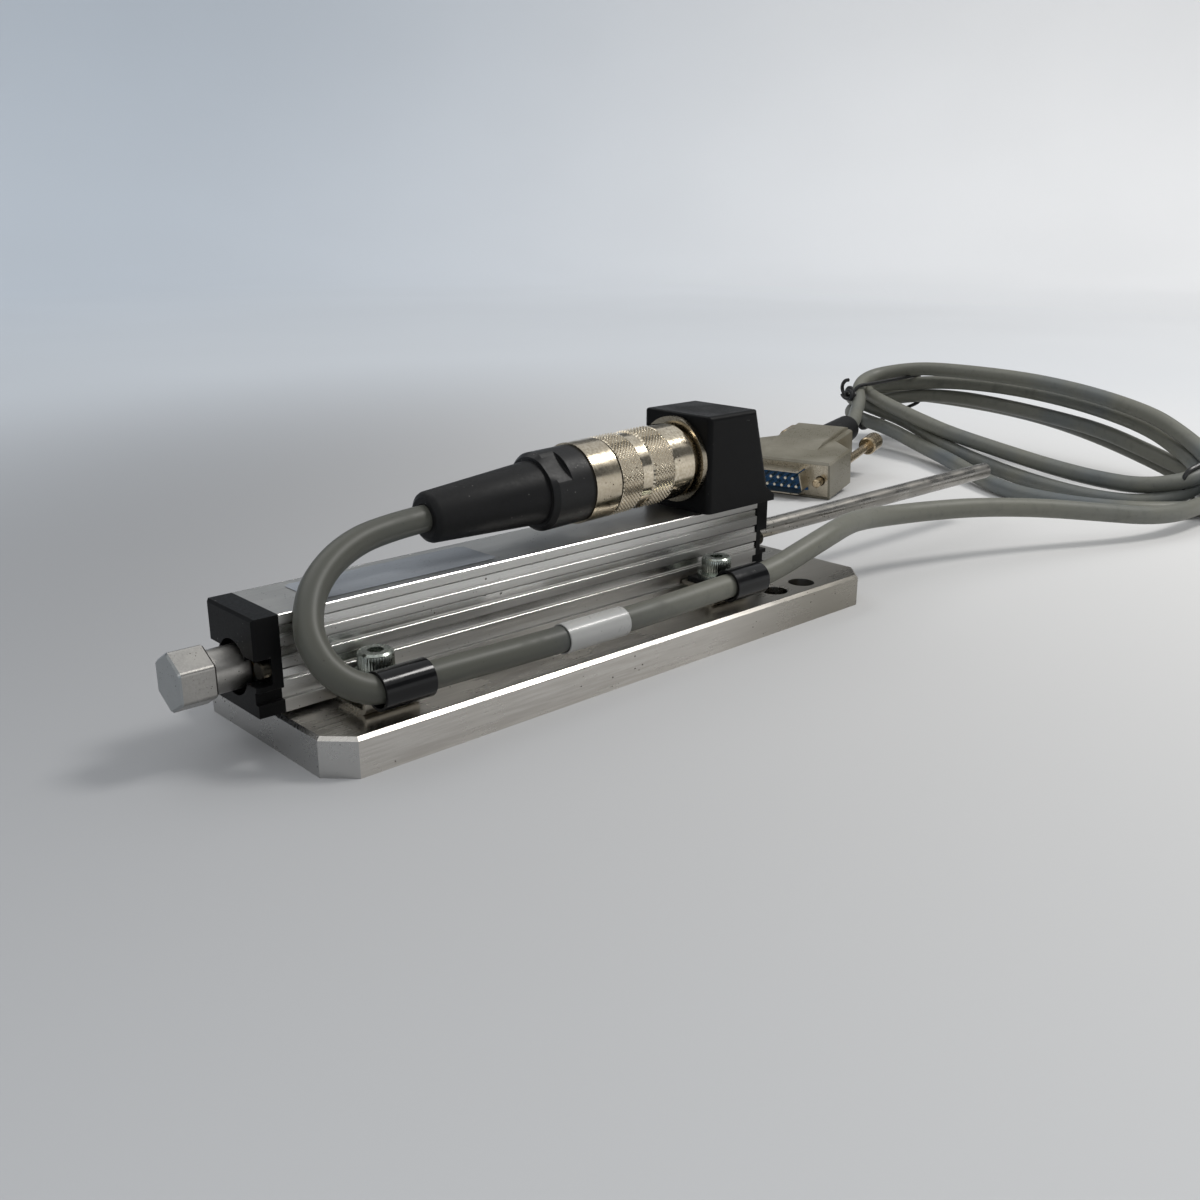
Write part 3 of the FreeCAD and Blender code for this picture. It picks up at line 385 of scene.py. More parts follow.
@dataclass(frozen=True)
class FoilFinish:
    """Bare silver label foil with a fine brushed grain and handling marks."""

    name: str
    tone: Tone
    mark: Tone
    speck: Tone = (0.07, 0.07, 0.075)
    cover: float = 0.5
    brush: float = 2600.0
    stretch: Triple = (0.05, 1.0, 1.0)
    blot: float = 160.0
    blot_span: Pair = (0.5, 0.7)
    rough: Pair = (0.34, 0.5)
    metallic: float = 0.55
    specular: float = 0.3
    grain_depth: float = 2e-6

    def material(self) -> Material:
        """Builds the finish as a material."""
        surface = Surface(self.name)
        brush = surface.noise(self.brush, 4.0, self.stretch)
        mark = surface.band(surface.noise(self.blot, 6.0), self.blot_span)
        speck = surface.dots(scale=1100.0, size=0.2, share=0.5)
        tone = surface.blend(surface.scaled(mark, self.cover), self.tone, self.mark)
        tone = surface.blend(surface.scaled(speck, self.cover), tone, self.speck)
        surface.fill(Base_Color=tone, Roughness=surface.band(brush, MOST, *self.rough))
        surface.fill(Metallic=self.metallic, Specular_IOR_Level=self.specular)
        surface.relief(brush, self.grain_depth)
        return surface.material


@dataclass(frozen=True)
class FloorFinish:
    """Plain pale studio floor that runs up into the backdrop, with painted shade: darker and cooler to the left, where
    the light falls off, and dark high up. Seen by camera, glossy and transmission rays it glows, brighter farther away,
    which is painted light.
    """

    name: str
    # Left and right tones near the object; the darker, cooler left is painted shade.
    near: tuple[Tone, Tone]
    # Left and right tones farther away; the darker, cooler left is painted shade.
    far: tuple[Tone, Tone]
    # Painted shade: dark tone high up on the backdrop.
    high: Tone
    # Painted light: strength of the glow far away.
    glow: float
    to_right: Triple = (0.734, -0.679, 0.0)
    middle: Triple = (0.09, 0.03, 0.0)
    near_span: Pair = (-0.25, 0.30)
    far_span: Pair = (-0.9, 1.1)
    away_span: Pair = (0.1, 0.55)
    patch: float = 2.5
    patch_span: Pair = (0.3, 0.7)
    patch_share: float = 0.05
    high_span: Pair = (0.48, 0.62)
    glow_span: Pair = (0.3, 1.7)
    glow_near: float = 0.06
    fall_span: Pair = (0.1, 0.5)
    fall: float = -0.08
    rough: float = 0.8

    def material(self) -> Material:
        """Builds the finish as a material."""
        surface = Surface(self.name)
        across = surface.compare("DOT_PRODUCT", surface.place, self.to_right)
        away = surface.compare("DISTANCE", surface.place, self.middle)
        level = surface.part(surface.place, "Z")
        # Painted shade: darker and cooler to the left.
        near = surface.blend(surface.band(across, self.near_span), *self.near)
        far = surface.blend(surface.band(across, self.far_span), *self.far)
        tone = surface.blend(surface.band(away, self.away_span), near, far)
        patch = surface.band(surface.noise(self.patch, 2.0), self.patch_span, 0.0, self.patch_share)
        tone = surface.blend(patch, tone, self.near[0])
        # Painted shade: dark high up.
        tone = surface.blend(surface.band(level, self.high_span), tone, self.high)
        # Painted light: the floor glows for camera, glossy and transmission rays, more farther away and less where it
        # rises.
        seen = surface.node("LightPath", "Is Camera Ray", {})
        for ray in ("Is Glossy Ray", "Is Transmission Ray"):
            seen = surface.math("MAXIMUM", seen, surface.node("LightPath", ray, {}))
        fall = surface.band(level, self.fall_span, 0.0, self.fall)
        wall = surface.math("ADD", surface.band(away, self.glow_span, self.glow_near, self.glow), fall)
        surface.fill(Base_Color=tone, Roughness=self.rough, Specular_IOR_Level=0.0)
        surface.fill(Emission_Color=tone, Emission_Strength=surface.scaled(seen, wall))
        return surface.material


@dataclass
class Solid:
    """Mesh gathered from rings of points."""

    name: str
    points: list[Vector] = field(default_factory=list)
    faces: list[tuple[int, ...]] = field(default_factory=list)

    def add(self, points: list[Vector]) -> range:
        """Adds points and gives their numbers."""
        self.points.extend(points)
        return range(len(self.points) - len(points), len(self.points))

    def join(self, first: range, second: range, closed: bool = True) -> None:
        """Joins two equal rows of points by quads.

        Args:
            first: Numbers of one row.
            second: Numbers of the next row.
            closed: Whether the rows are rings.
        """
        count = len(first)
        for place in range(count if closed else count - 1):
            after = (place + 1) % count
            self.faces.append((first[place], first[after], second[after], second[place]))

    def loft(self, rows: list[list[Vector]], closed: bool = True) -> list[range]:
        """Adds rows of points and joins each to the next.

        Args:
            rows: Equal rows of points.
            closed: Whether the rows are rings.

        Returns:
            Point numbers of each row.
        """
        added = [self.add(row) for row in rows]
        for first, second in zip(added, added[1:]):
            self.join(second, first, closed)
        return added

    def finish(
        self, material: Material, slot: Slot | None = None, body: Body = Body.SENSOR, sharp: float = 35.0,
    ) -> Object:
        """Makes the mesh an object that rides on a body, or part of the stage.

        Args:
            material: Finish of the piece.
            slot: Material slot of the record, which is not stored; without one the piece is part of the stage and rides
                on no body.
            body: Moving group it belongs to.
            sharp: Angle in degrees above which an edge stays sharp.

        Returns:
            The new object.
        """
        mesh = bpy.data.meshes.new(self.name)
        mesh.from_pydata(self.points, [], self.faces)
        mesh.validate()
        mesh.shade_smooth()
        mesh.set_sharp_from_angle(angle=math.radians(sharp))
        mesh.materials.append(material)
        piece = bpy.data.objects.new(self.name, mesh)
        bpy.context.scene.collection.objects.link(piece)
        LOG.info("%s: %d faces", self.name, len(mesh.polygons))
        if slot is None:
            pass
        else:
            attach(piece, body.value)
        return piece


def dress(finish: MetalFinish | PlasticFinish, *nodes: str) -> Material:
    """Gives CAD nodes their finish.

    Args:
        finish: Finish to build and assign.
        nodes: Names of the nodes.

    Returns:
        The finish as a material.
    """
    material = finish.material()
    for name in nodes:
        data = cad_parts[name].data
        data.materials.clear()
        data.materials.append(material)
        LOG.info("%s: %s", name, material.name)
    return material


def sweep(solid: Solid, path: list[Vector], radius: float, sides: int, closed: bool) -> None:
    """Runs a round wire along a path.

    Args:
        solid: Mesh that takes the wire.
        path: Points of its middle line.
        radius: Radius of the wire in metres.
        sides: Points around the wire.
        closed: Whether the path returns to its start.
    """
    count = len(path)
    turns = circle(sides)
    rings = []
    side = Vector((0.0, 0.0, 1.0))
    for place in range(count):
        before = path[place - 1] if closed or place else path[place]
        after = path[(place + 1) % count] if closed or place + 1 < count else path[place]
        ahead = (after - before).normalized()
        side = (side - ahead * side.dot(ahead)).normalized()
        other = ahead.cross(side)
        rings.append(solid.add([path[place] + (side * c + other * s) * radius for c, s in turns]))
    for first, second in zip(rings, rings[1:] + rings[:1] if closed else rings[1:]):
        solid.join(second, first)
    if not closed:
        solid.faces += [tuple(rings[0]), tuple(reversed(rings[-1]))]


@dataclass
class Camera:
    """Camera at the photograph's place."""

    place: Triple = (-175.85, -198.89, 96.56)
    forward: Triple = (0.6465, 0.6989, -0.3057)
    lens: float = 35.955
    sensor: float = 36.0
    nearest: float = 5.0

    def build(self) -> None:
        """Adds the camera and makes it the scene's own."""
        data = bpy.data.cameras.new("camera")
        data.sensor_width = self.sensor
        data.lens = self.lens
        data.clip_start = self.nearest * MM
        camera = bpy.data.objects.new("camera", data)
        camera.location = metres(self.place)
        camera.rotation_euler = Vector(self.forward).to_track_quat("-Z", "Y").to_euler()
        bpy.context.scene.collection.objects.link(camera)
        bpy.context.scene.camera = camera


@dataclass(frozen=True)
class Lamp:
    """Soft lamp that faces the object, with sizes in millimetres and power in watts."""

    name: str
    toward: Triple
    far: float
    size: Pair
    power: float
    tone: Tone = EVEN

    def build(self, centre: Vector) -> None:
        """Adds the lamp.

        Args:
            centre: Point that it faces.
        """
        data = bpy.data.lights.new(self.name, "AREA")
        data.shape = "RECTANGLE"
        data.size, data.size_y = (side * MM for side in self.size)
        data.energy = self.power
        data.color = self.tone
        lamp = bpy.data.objects.new(self.name, data)
        direction = Vector(self.toward).normalized()
        lamp.location = centre + direction * self.far * MM
        lamp.rotation_euler = direction.to_track_quat("Z", "Y").to_euler()
        bpy.context.scene.collection.objects.link(lamp)


@dataclass
class Studio:
    """Pale floor rising into a round backdrop, with soft lamps."""

    centre: Triple = (90.0, 30.0, 0.0)
    inner: float = 200.0
    flat: float = 1500.0
    rise: float = 700.0
    height: float = 1500.0
    steps: int = 14
    around: int = 96
    room: Tone = (0.96, 0.98, 1.0)
    room_strength: float = 0.68
    lamps: tuple[Lamp, ...] = (
        Lamp("key_lamp", (0.47, -0.34, 0.81), 1100.0, (280.0, 280.0), 5.0, (1.0, 0.98, 0.95)),
        Lamp("left_lamp", (-0.85, -0.25, 0.50), 1600.0, (1200.0, 900.0), 3.0, (1.0, 0.99, 0.97)),
        Lamp("top_lamp", (-0.10, 0.55, 0.83), 1400.0, (900.0, 900.0), 2.4),
    )
    # Floor darker and cooler to the left and dark high up, painted shade; its glow is painted light.
    finish: FloorFinish = FloorFinish(
        "floor_pale", near=((0.265, 0.271, 0.285), (0.76, 0.756, 0.747)),
        far=((0.475, 0.522, 0.578), (0.85, 0.85, 0.852)), high=(0.16, 0.165, 0.17), glow=0.46,
    )

    def build(self) -> None:
        """Builds the floor and sets the lamps, world and view."""
        floor = Solid("studio_floor")
        (x, y, _), turns = self.centre, circle(self.around)
        rows = [[metres((x + r * c, y + r * s, level)) for c, s in turns] for r, level in self.section()]
        floor.faces.append(tuple(floor.loft(rows)[0]))
        floor.finish(self.finish.material())
        for lamp in self.lamps:
            lamp.build(metres(self.centre))
        self.light_room()
        bpy.context.scene.view_settings.view_transform = "Standard"

    def section(self) -> list[Pair]:
        """Gives the floor's section as distances and levels."""
        bend = [math.radians(90.0 * step / self.steps) for step in range(self.steps + 1)]
        curve = [(self.flat + self.rise * math.sin(a), self.rise * (1.0 - math.cos(a))) for a in bend]
        return [(self.inner, 0.0), *curve, (self.flat + self.rise, self.height)]

    def light_room(self) -> None:
        """Sets the even light of the room."""
        world = bpy.data.worlds.new("room_light")
        world.use_nodes = True
        background = world.node_tree.nodes["Background"]
        background.inputs["Color"].default_value = (*self.room, 1.0)
        background.inputs["Strength"].default_value = self.room_strength
        bpy.context.scene.world = world


@dataclass(frozen=True)
class CoilFrame:
    """Plan frame of the coil: along points to the plug, across to the far side."""

    middle: Pair = (264.0, 36.5)
    along: Pair = (0.1456, 0.9893)

    def point(self, along: float, across: float, level: float) -> Triple:
        """Gives the point so far along, across and above the floor, in millimetres of the row frame."""
        (px, py), (ux, uy) = self.middle, self.along
        return (px + ux * along + uy * across, py + uy * along - ux * across, level)

    def plan(self, place: Vector) -> Pair:
        """Gives along and across, in millimetres, of a point in metres."""
        dx, dy = place.x / MM - self.middle[0], place.y / MM - self.middle[1]
        return dx * self.along[0] + dy * self.along[1], dx * self.along[1] - dy * self.along[0]


@dataclass
class CableRun:
    """Cable from the round connector through the clips to the coil and the plug."""

    radius: float = 2.85
    length: float = 1801.0
    exit: Triple = (-40.8, 0.0, 37.75)
    coil: CoilFrame = CoilFrame()
    lead: tuple[Triple, ...] = (
        (-35, 0, 37.92), (-50.8, 0, 37.4), (-62.2, -2.3, 35.1), (-70.9, -6.5, 30.6), (-75.6, -12.1, 24.8),
        (-75.6, -16.5, 20.1), (-74, -19.2, 17.3), (-71, -21.3, 15.1), (-67.1, -22.4, 13.9), (-53.6, -22.4, 13.9),
        (-28.6, -22.65, 13.35), (3.4, -22.65, 13.35), (25.4, -22.4, 13.9), (42.4, -22.4, 14.1), (55, -22.9, 17.3),
        (66, -22.4, 19.4), (79, -19.2, 19.8), (92, -15.6, 18.2), (106, -14.8, 16.7), (120, -17.2, 16),
        (138, -22.6, 15.2), (160, -31, 12.9), (180, -41, 9.9), (196, -48.3, 7.4), (212, -51.8, 6.5),
        (230, -51.5, 6.4),
    )
    turns: tuple[tuple[Triple, ...], ...] = (
        (
            (-94, -4, 7.5), (-84, 9, 8.6), (-62, 17.5, 8.7), (-47, 20, 12), (-25, 21.5, 17),
            (0, 23.5, 19), (25, 25, 20.3), (48, 26, 20.8), (66, 23, 20), (79, 16, 17.5),
            (87, 5, 14.8), (84, -5, 12.4), (72, -9.5, 11.4), (56, -8.5, 9.2), (36, -14, 6.4),
            (9, -25, 5), (-15, -37, 3.6), (-35, -45, 3), (-55, -45, 3), (-73, -37, 3),
            (-85, -22, 3), (-89, -6, 3),
        ),
        (
            (-80, 8, 3), (-64, 22, 3.5), (-45, 27, 7.5), (-20, 29, 13), (5, 31, 16.5),
            (30, 32.5, 18), (52, 32, 18.5), (70, 28, 19), (81, 20, 19.5), (90, 8, 19.8),
            (86, -4, 19), (73, -4, 16.4), (56, -2.5, 13.3), (36, -8.5, 10.3), (16, -16.5, 7.2),
            (-12, -21.5, 4.1), (-39, -27, 3), (-59, -29, 3), (-73, -25, 3.4), (-80, -14, 6),
        ),
        (
            (-80, -2, 9), (-73, 8, 12), (-61, 15.5, 15.5), (-46, 19, 21), (-23, 21.5, 25),
            (1, 23.5, 27.2), (27, 25, 28), (52, 24, 27.2), (70, 19.5, 25), (80, 12, 23.8),
            (81, 1, 23), (73, -5, 22), (62, -8, 20.2), (50, -10, 18), (34, -12.5, 15.5),
            (18, -15, 13.2), (-9, -18.5, 11), (-34, -22, 9.3), (-55, -23.8, 8.5), (-72, -23, 8.8),
            (-82, -12, 11.5),
        ),
        (
            (-83, 0, 14.8), (-72, 9, 18.2), (-60, 13, 22.8), (-49, 14, 27), (-27, 14.5, 31),
            (-4, 15, 33.2), (17, 14.5, 34), (46, 15.5, 33.5), (63, 16.5, 32.4), (73, 13.5, 30.8),
            (79, 5.5, 29), (77.5, -4.5, 27), (72, -12.5, 24), (64.5, -19, 20.6),
        ),
    )
    tail: tuple[Triple, ...] = ((246, 98.5, 17.2), (233.8, 90.72, 15.1), (220.35, 87.06, 13.56))

    def route(self) -> list[Triple]:
        """Gives the points of the whole cable, in order."""
        points = list(self.lead)
        for turn in self.turns:
            for along, across, level in turn:
                points.append(self.coil.point(along, across, level))
        return [*points, *self.tail]

    def build(self) -> Object:
        """Builds the cable as one curve and gives it."""
        route = self.route()
        data = bpy.data.curves.new("cable", "CURVE")
        data.dimensions = "3D"
        spline = data.splines.new("NURBS")
        spline.points.add(len(route) - 1)
        for point, place in zip(spline.points, route):
            point.co = (*metres(place), 1.0)
        spline.order_u = 3
        spline.use_endpoint_u = True
        spline.resolution_u = 8
        cable = bpy.data.objects.new("cable", data)
        bpy.context.scene.collection.objects.link(cable)
        self.line = self.measured(cable)
        data.bevel_depth = self.radius * MM
        data.bevel_resolution = 7
        data.use_fill_caps = True
        # Darker tones towards the sensor end; then the cable's own tone and a bluish painted shade patched into the
        # coil.
        sensor_end = ((0.086, 0.087, 0.072), (0.074, 0.078, 0.074))
        tone_and_coil_shade = ((0.172, 0.172, 0.143), (0.118, 0.136, 0.148))
        finish = JacketFinish("cable_jacket_grey", sensor_end, tone_and_coil_shade, (0.085, 0.087, 0.075))
        data.materials.append(finish.material())
        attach(cable, Body.SENSOR.value)
        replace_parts(cable, "cable_lead", "cable_coil", "cable_tail")
        LOG.info("cable: %d points", len(route))
        return cable

    def measured(self, cable: Object) -> list[Vector]:
        """Reads the cable's middle line from its curve.

        Args:
            cable: Curve without a bevel.

        Returns:
            Points along the line.
        """
        bpy.context.view_layer.update()
        mesh = bpy.data.meshes.new_from_object(cable)
        points = [vertex.co.copy() for vertex in mesh.vertices]
        bpy.data.meshes.remove(mesh)
        return points

    def crossings(self, along: float, widest: float) -> list[Pair]:
        """Finds where the cable's strands cross a plane through the coil.

        Args:
            along: Place of the plane in the coil's plan.
            widest: Greatest distance across that counts.

        Returns:
            Distance across and height of each strand, in millimetres.
        """
        found = []
        for first, second in zip(self.line, self.line[1:]):
            start, across = self.coil.plan(first)
            end, _ = self.coil.plan(second)
            if (start - along) * (end - along) <= 0.0 and abs(across) < widest:
                found.append((across, first.z / MM))
        return found


@dataclass
class WireTie:
    """Coated wire bound round the coil, its ends twisted together."""

    name: str
    along: float
    widest: float
    highest: float
    knot: float
    wire: float = 0.8
    gap: float = 0.1
    sway: float = 1.6
    sides: int = 8
    corners: int = 24
    points: int = 72
    curls: int = 3
    curl_steps: int = 40
    curl_turns: float = 1.6
    curl_radius: float = 1.1
    curl_growth: Pair = (1.725, 0.46)
    curl_spacing: float = 1.1
    tail: Triple = (1.0, 4.2, -1.1)
    tail_flat: float = 0.9
    tail_rise: float = 1.5

    def build(self, run: CableRun, material: Material) -> Object:
        """Builds the tie round the strands that cross its plane.

        Args:
            run: Cable that it binds.
            material: Finish of the wire.

        Returns:
            The tie.
        """
        strands = [strand for strand in run.crossings(self.along, self.widest) if strand[1] < self.highest]
        loop = self.hull(strands, run.radius + self.wire + self.gap)
        solid = Solid(self.name)
        path = []
        for step, (across, level) in enumerate(loop):
            along = self.along + self.sway * math.sin(FULL_TURN * step / len(loop))
            path.append(metres(run.coil.point(along, across, max(level, self.wire))))
        sweep(solid, path, self.wire * MM, self.sides, True)
        start = min(path, key=lambda place: run.coil.plan(place)[1] * self.knot)
        for turn in range(self.curls):
            sweep(solid, self.curl(start, run.coil, turn), self.wire * MM, self.sides, False)
        return solid.finish(material, Slot.BOOT)

    def hull(self, strands: list[Pair], offset: float) -> list[Pair]:
        """Gives the outline drawn tight round the strands.

        Args:
            strands: Middle of each strand, across and up.
            offset: Distance of the outline from those middles.

        Returns:
            Points of the outline, evenly spaced.
        """
        turns = circle(self.corners)
        cloud = sorted((q + offset * c, z + offset * s) for q, z in strands for c, s in turns)
        outline: list[Pair] = []
        for points in (cloud, cloud[::-1]):
            side: list[Pair] = []
            for point in points:
                while len(side) > 1 and self.turn(side[-2], side[-1], point) <= 0.0:
                    side.pop()
                side.append(point)
            outline += side[:-1]
        return self.spaced(outline)

    def turn(self, first: Pair, middle: Pair, last: Pair) -> float:
        """Gives a positive number where three points turn to the left."""
        return (middle[0] - first[0]) * (last[1] - first[1]) - (middle[1] - first[1]) * (last[0] - first[0])

    def spaced(self, outline: list[Pair]) -> list[Pair]:
        """Gives an outline's points again, evenly spaced.

        Args:
            outline: Corners of the closed outline.

        Returns:
            The evenly spaced points.
        """
        ring = outline + outline[:1]
        marks = [0.0]
        for first, second in zip(ring, ring[1:]):
            marks.append(marks[-1] + math.dist(first, second))
        points = []
        for step in range(self.points):
            reach = marks[-1] * step / self.points
            place = max(index for index, mark in enumerate(marks[:-1]) if mark <= reach)
            share = (reach - marks[place]) / (marks[place + 1] - marks[place])
            first, second = ring[place], ring[place + 1]
            points.append((first[0] + share * (second[0] - first[0]), first[1] + share * (second[1] - first[1])))
        return points

    def curl(self, start: Vector, coil: CoilFrame, turn: int) -> list[Vector]:
        """Gives one curl of the twisted ends.

        Args:
            start: Place where the ends meet.
            coil: Plan frame of the coil.
            turn: Number of the curl.

        Returns:
            Points of the wire.
        """
        base = Vector(coil.point(0.0, 0.0, 0.0))
        growth, more = self.curl_growth
        root, length, shorter = self.tail
        points = []
        for step in range(self.curl_steps + 1):
            share = step / self.curl_steps
            angle = FULL_TURN * (self.curl_turns * share + turn / self.curls)
            reach = self.curl_radius + share * (growth + more * turn)
            along = reach * math.cos(angle) + (turn - 1.0) * self.curl_spacing
            across = -self.knot * (root + length * share + shorter * turn * share)
            up = self.tail_flat * reach * math.sin(angle) + self.tail_rise * turn * share
            points.append(start + (Vector(coil.point(along, across, up)) - base) * MM)
        return points


@dataclass
class Carrier:
    """Ground plate with its clamps, screws and cable clips."""

    screws: tuple[Pair, ...] = ((-62.6, -14.0), (-62.6, 14.0), (33.4, -14.0), (33.4, 14.0))
    root: float = 3.48
    tooth: float = 0.09
    tooth_form: tuple[float, ...] = (0.0, 0.7, 1.0, 0.7)
    teeth: int = 42
    levels: tuple[Pair, ...] = ((-0.55, 0.0), (-0.75, 1.0), (-3.6, 1.0), (-3.75, 0.0))

    def build(self) -> None:
        """Builds the grip teeth round the screw heads and dresses the nodes."""
        zinc = MetalFinish(
            "zinc_greenish", (0.54, 0.575, 0.53), (0.35, 0.38, 0.34), (0.06, 0.055, 0.04), (0.17, 0.3), cloud=260.0,
        )
        material = dress(zinc, "clamp_screws", "clamp_washers")
        for number, place in enumerate(self.screws, 1):
            self.grip(f"screw_grip_{number}", place, material)
        self.dress()

    def grip(self, name: str, place: Pair, material: Material) -> None:
        """Builds the straight teeth round one screw head.

        Args:
            name: Name of the piece.
            place: Middle of the head.
            material: Finish of the screw.
        """
        solid = Solid(name)
        (x, y), top = place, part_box("clamp_screws")[1].z / MM
        turns = list(zip(circle(self.teeth * len(self.tooth_form)), self.tooth_form * self.teeth))
        rows = []
        for drop, share in self.levels:
            reaches = [(c, s, self.root + share * tooth * self.tooth) for (c, s), tooth in turns]
            rows.append([metres((x + r * c, y + r * s, top + drop)) for c, s, r in reaches])
        solid.loft(rows)
        solid.finish(material, Slot.SCREW, sharp=25.0)

    def dress(self) -> None:
        """Gives the plate, clamps and clips their finishes."""
        plate = MetalFinish(
            "steel_ground", (0.74, 0.71, 0.665), (0.62, 0.59, 0.545), (0.05, 0.042, 0.034), (0.18, 0.33),
            stretch=(0.05, 1.0, 1.0), grain=1700.0, grain_depth=1.0e-6, cloud=42.0, speck_size=0.16, speck_share=0.34,
            # Painted shade: end faces darker and cooler, and the tone darker towards the right end.
            ends=(0.47, 0.47, 0.465), shade_fade=((0.01, 0.065), (0.34, 0.32, 0.28)),
        )
        clamp = MetalFinish(
            "clamp_sheet_warm", (0.62, 0.585, 0.51), (0.48, 0.445, 0.38), (0.07, 0.055, 0.04), (0.24, 0.36),
            cloud=150.0, speck_scale=900.0, speck_size=0.15, speck_share=0.25,
        )
        clip = PlasticFinish(
            "clip_black_glossy", (0.004, 0.004, 0.0045), (0.012, 0.012, 0.012), (0.12, 0.22), grain=700.0,
            grain_depth=5e-6, scuff_share=0.3, dust_share=0.12, specular=0.32,
        )
        dress(plate, "base_plate")
        dress(clamp, "clamp_front_near", "clamp_front_far", "clamp_rear_near", "clamp_rear_far")
        dress(clip, "p_clip_front", "p_clip_rear")


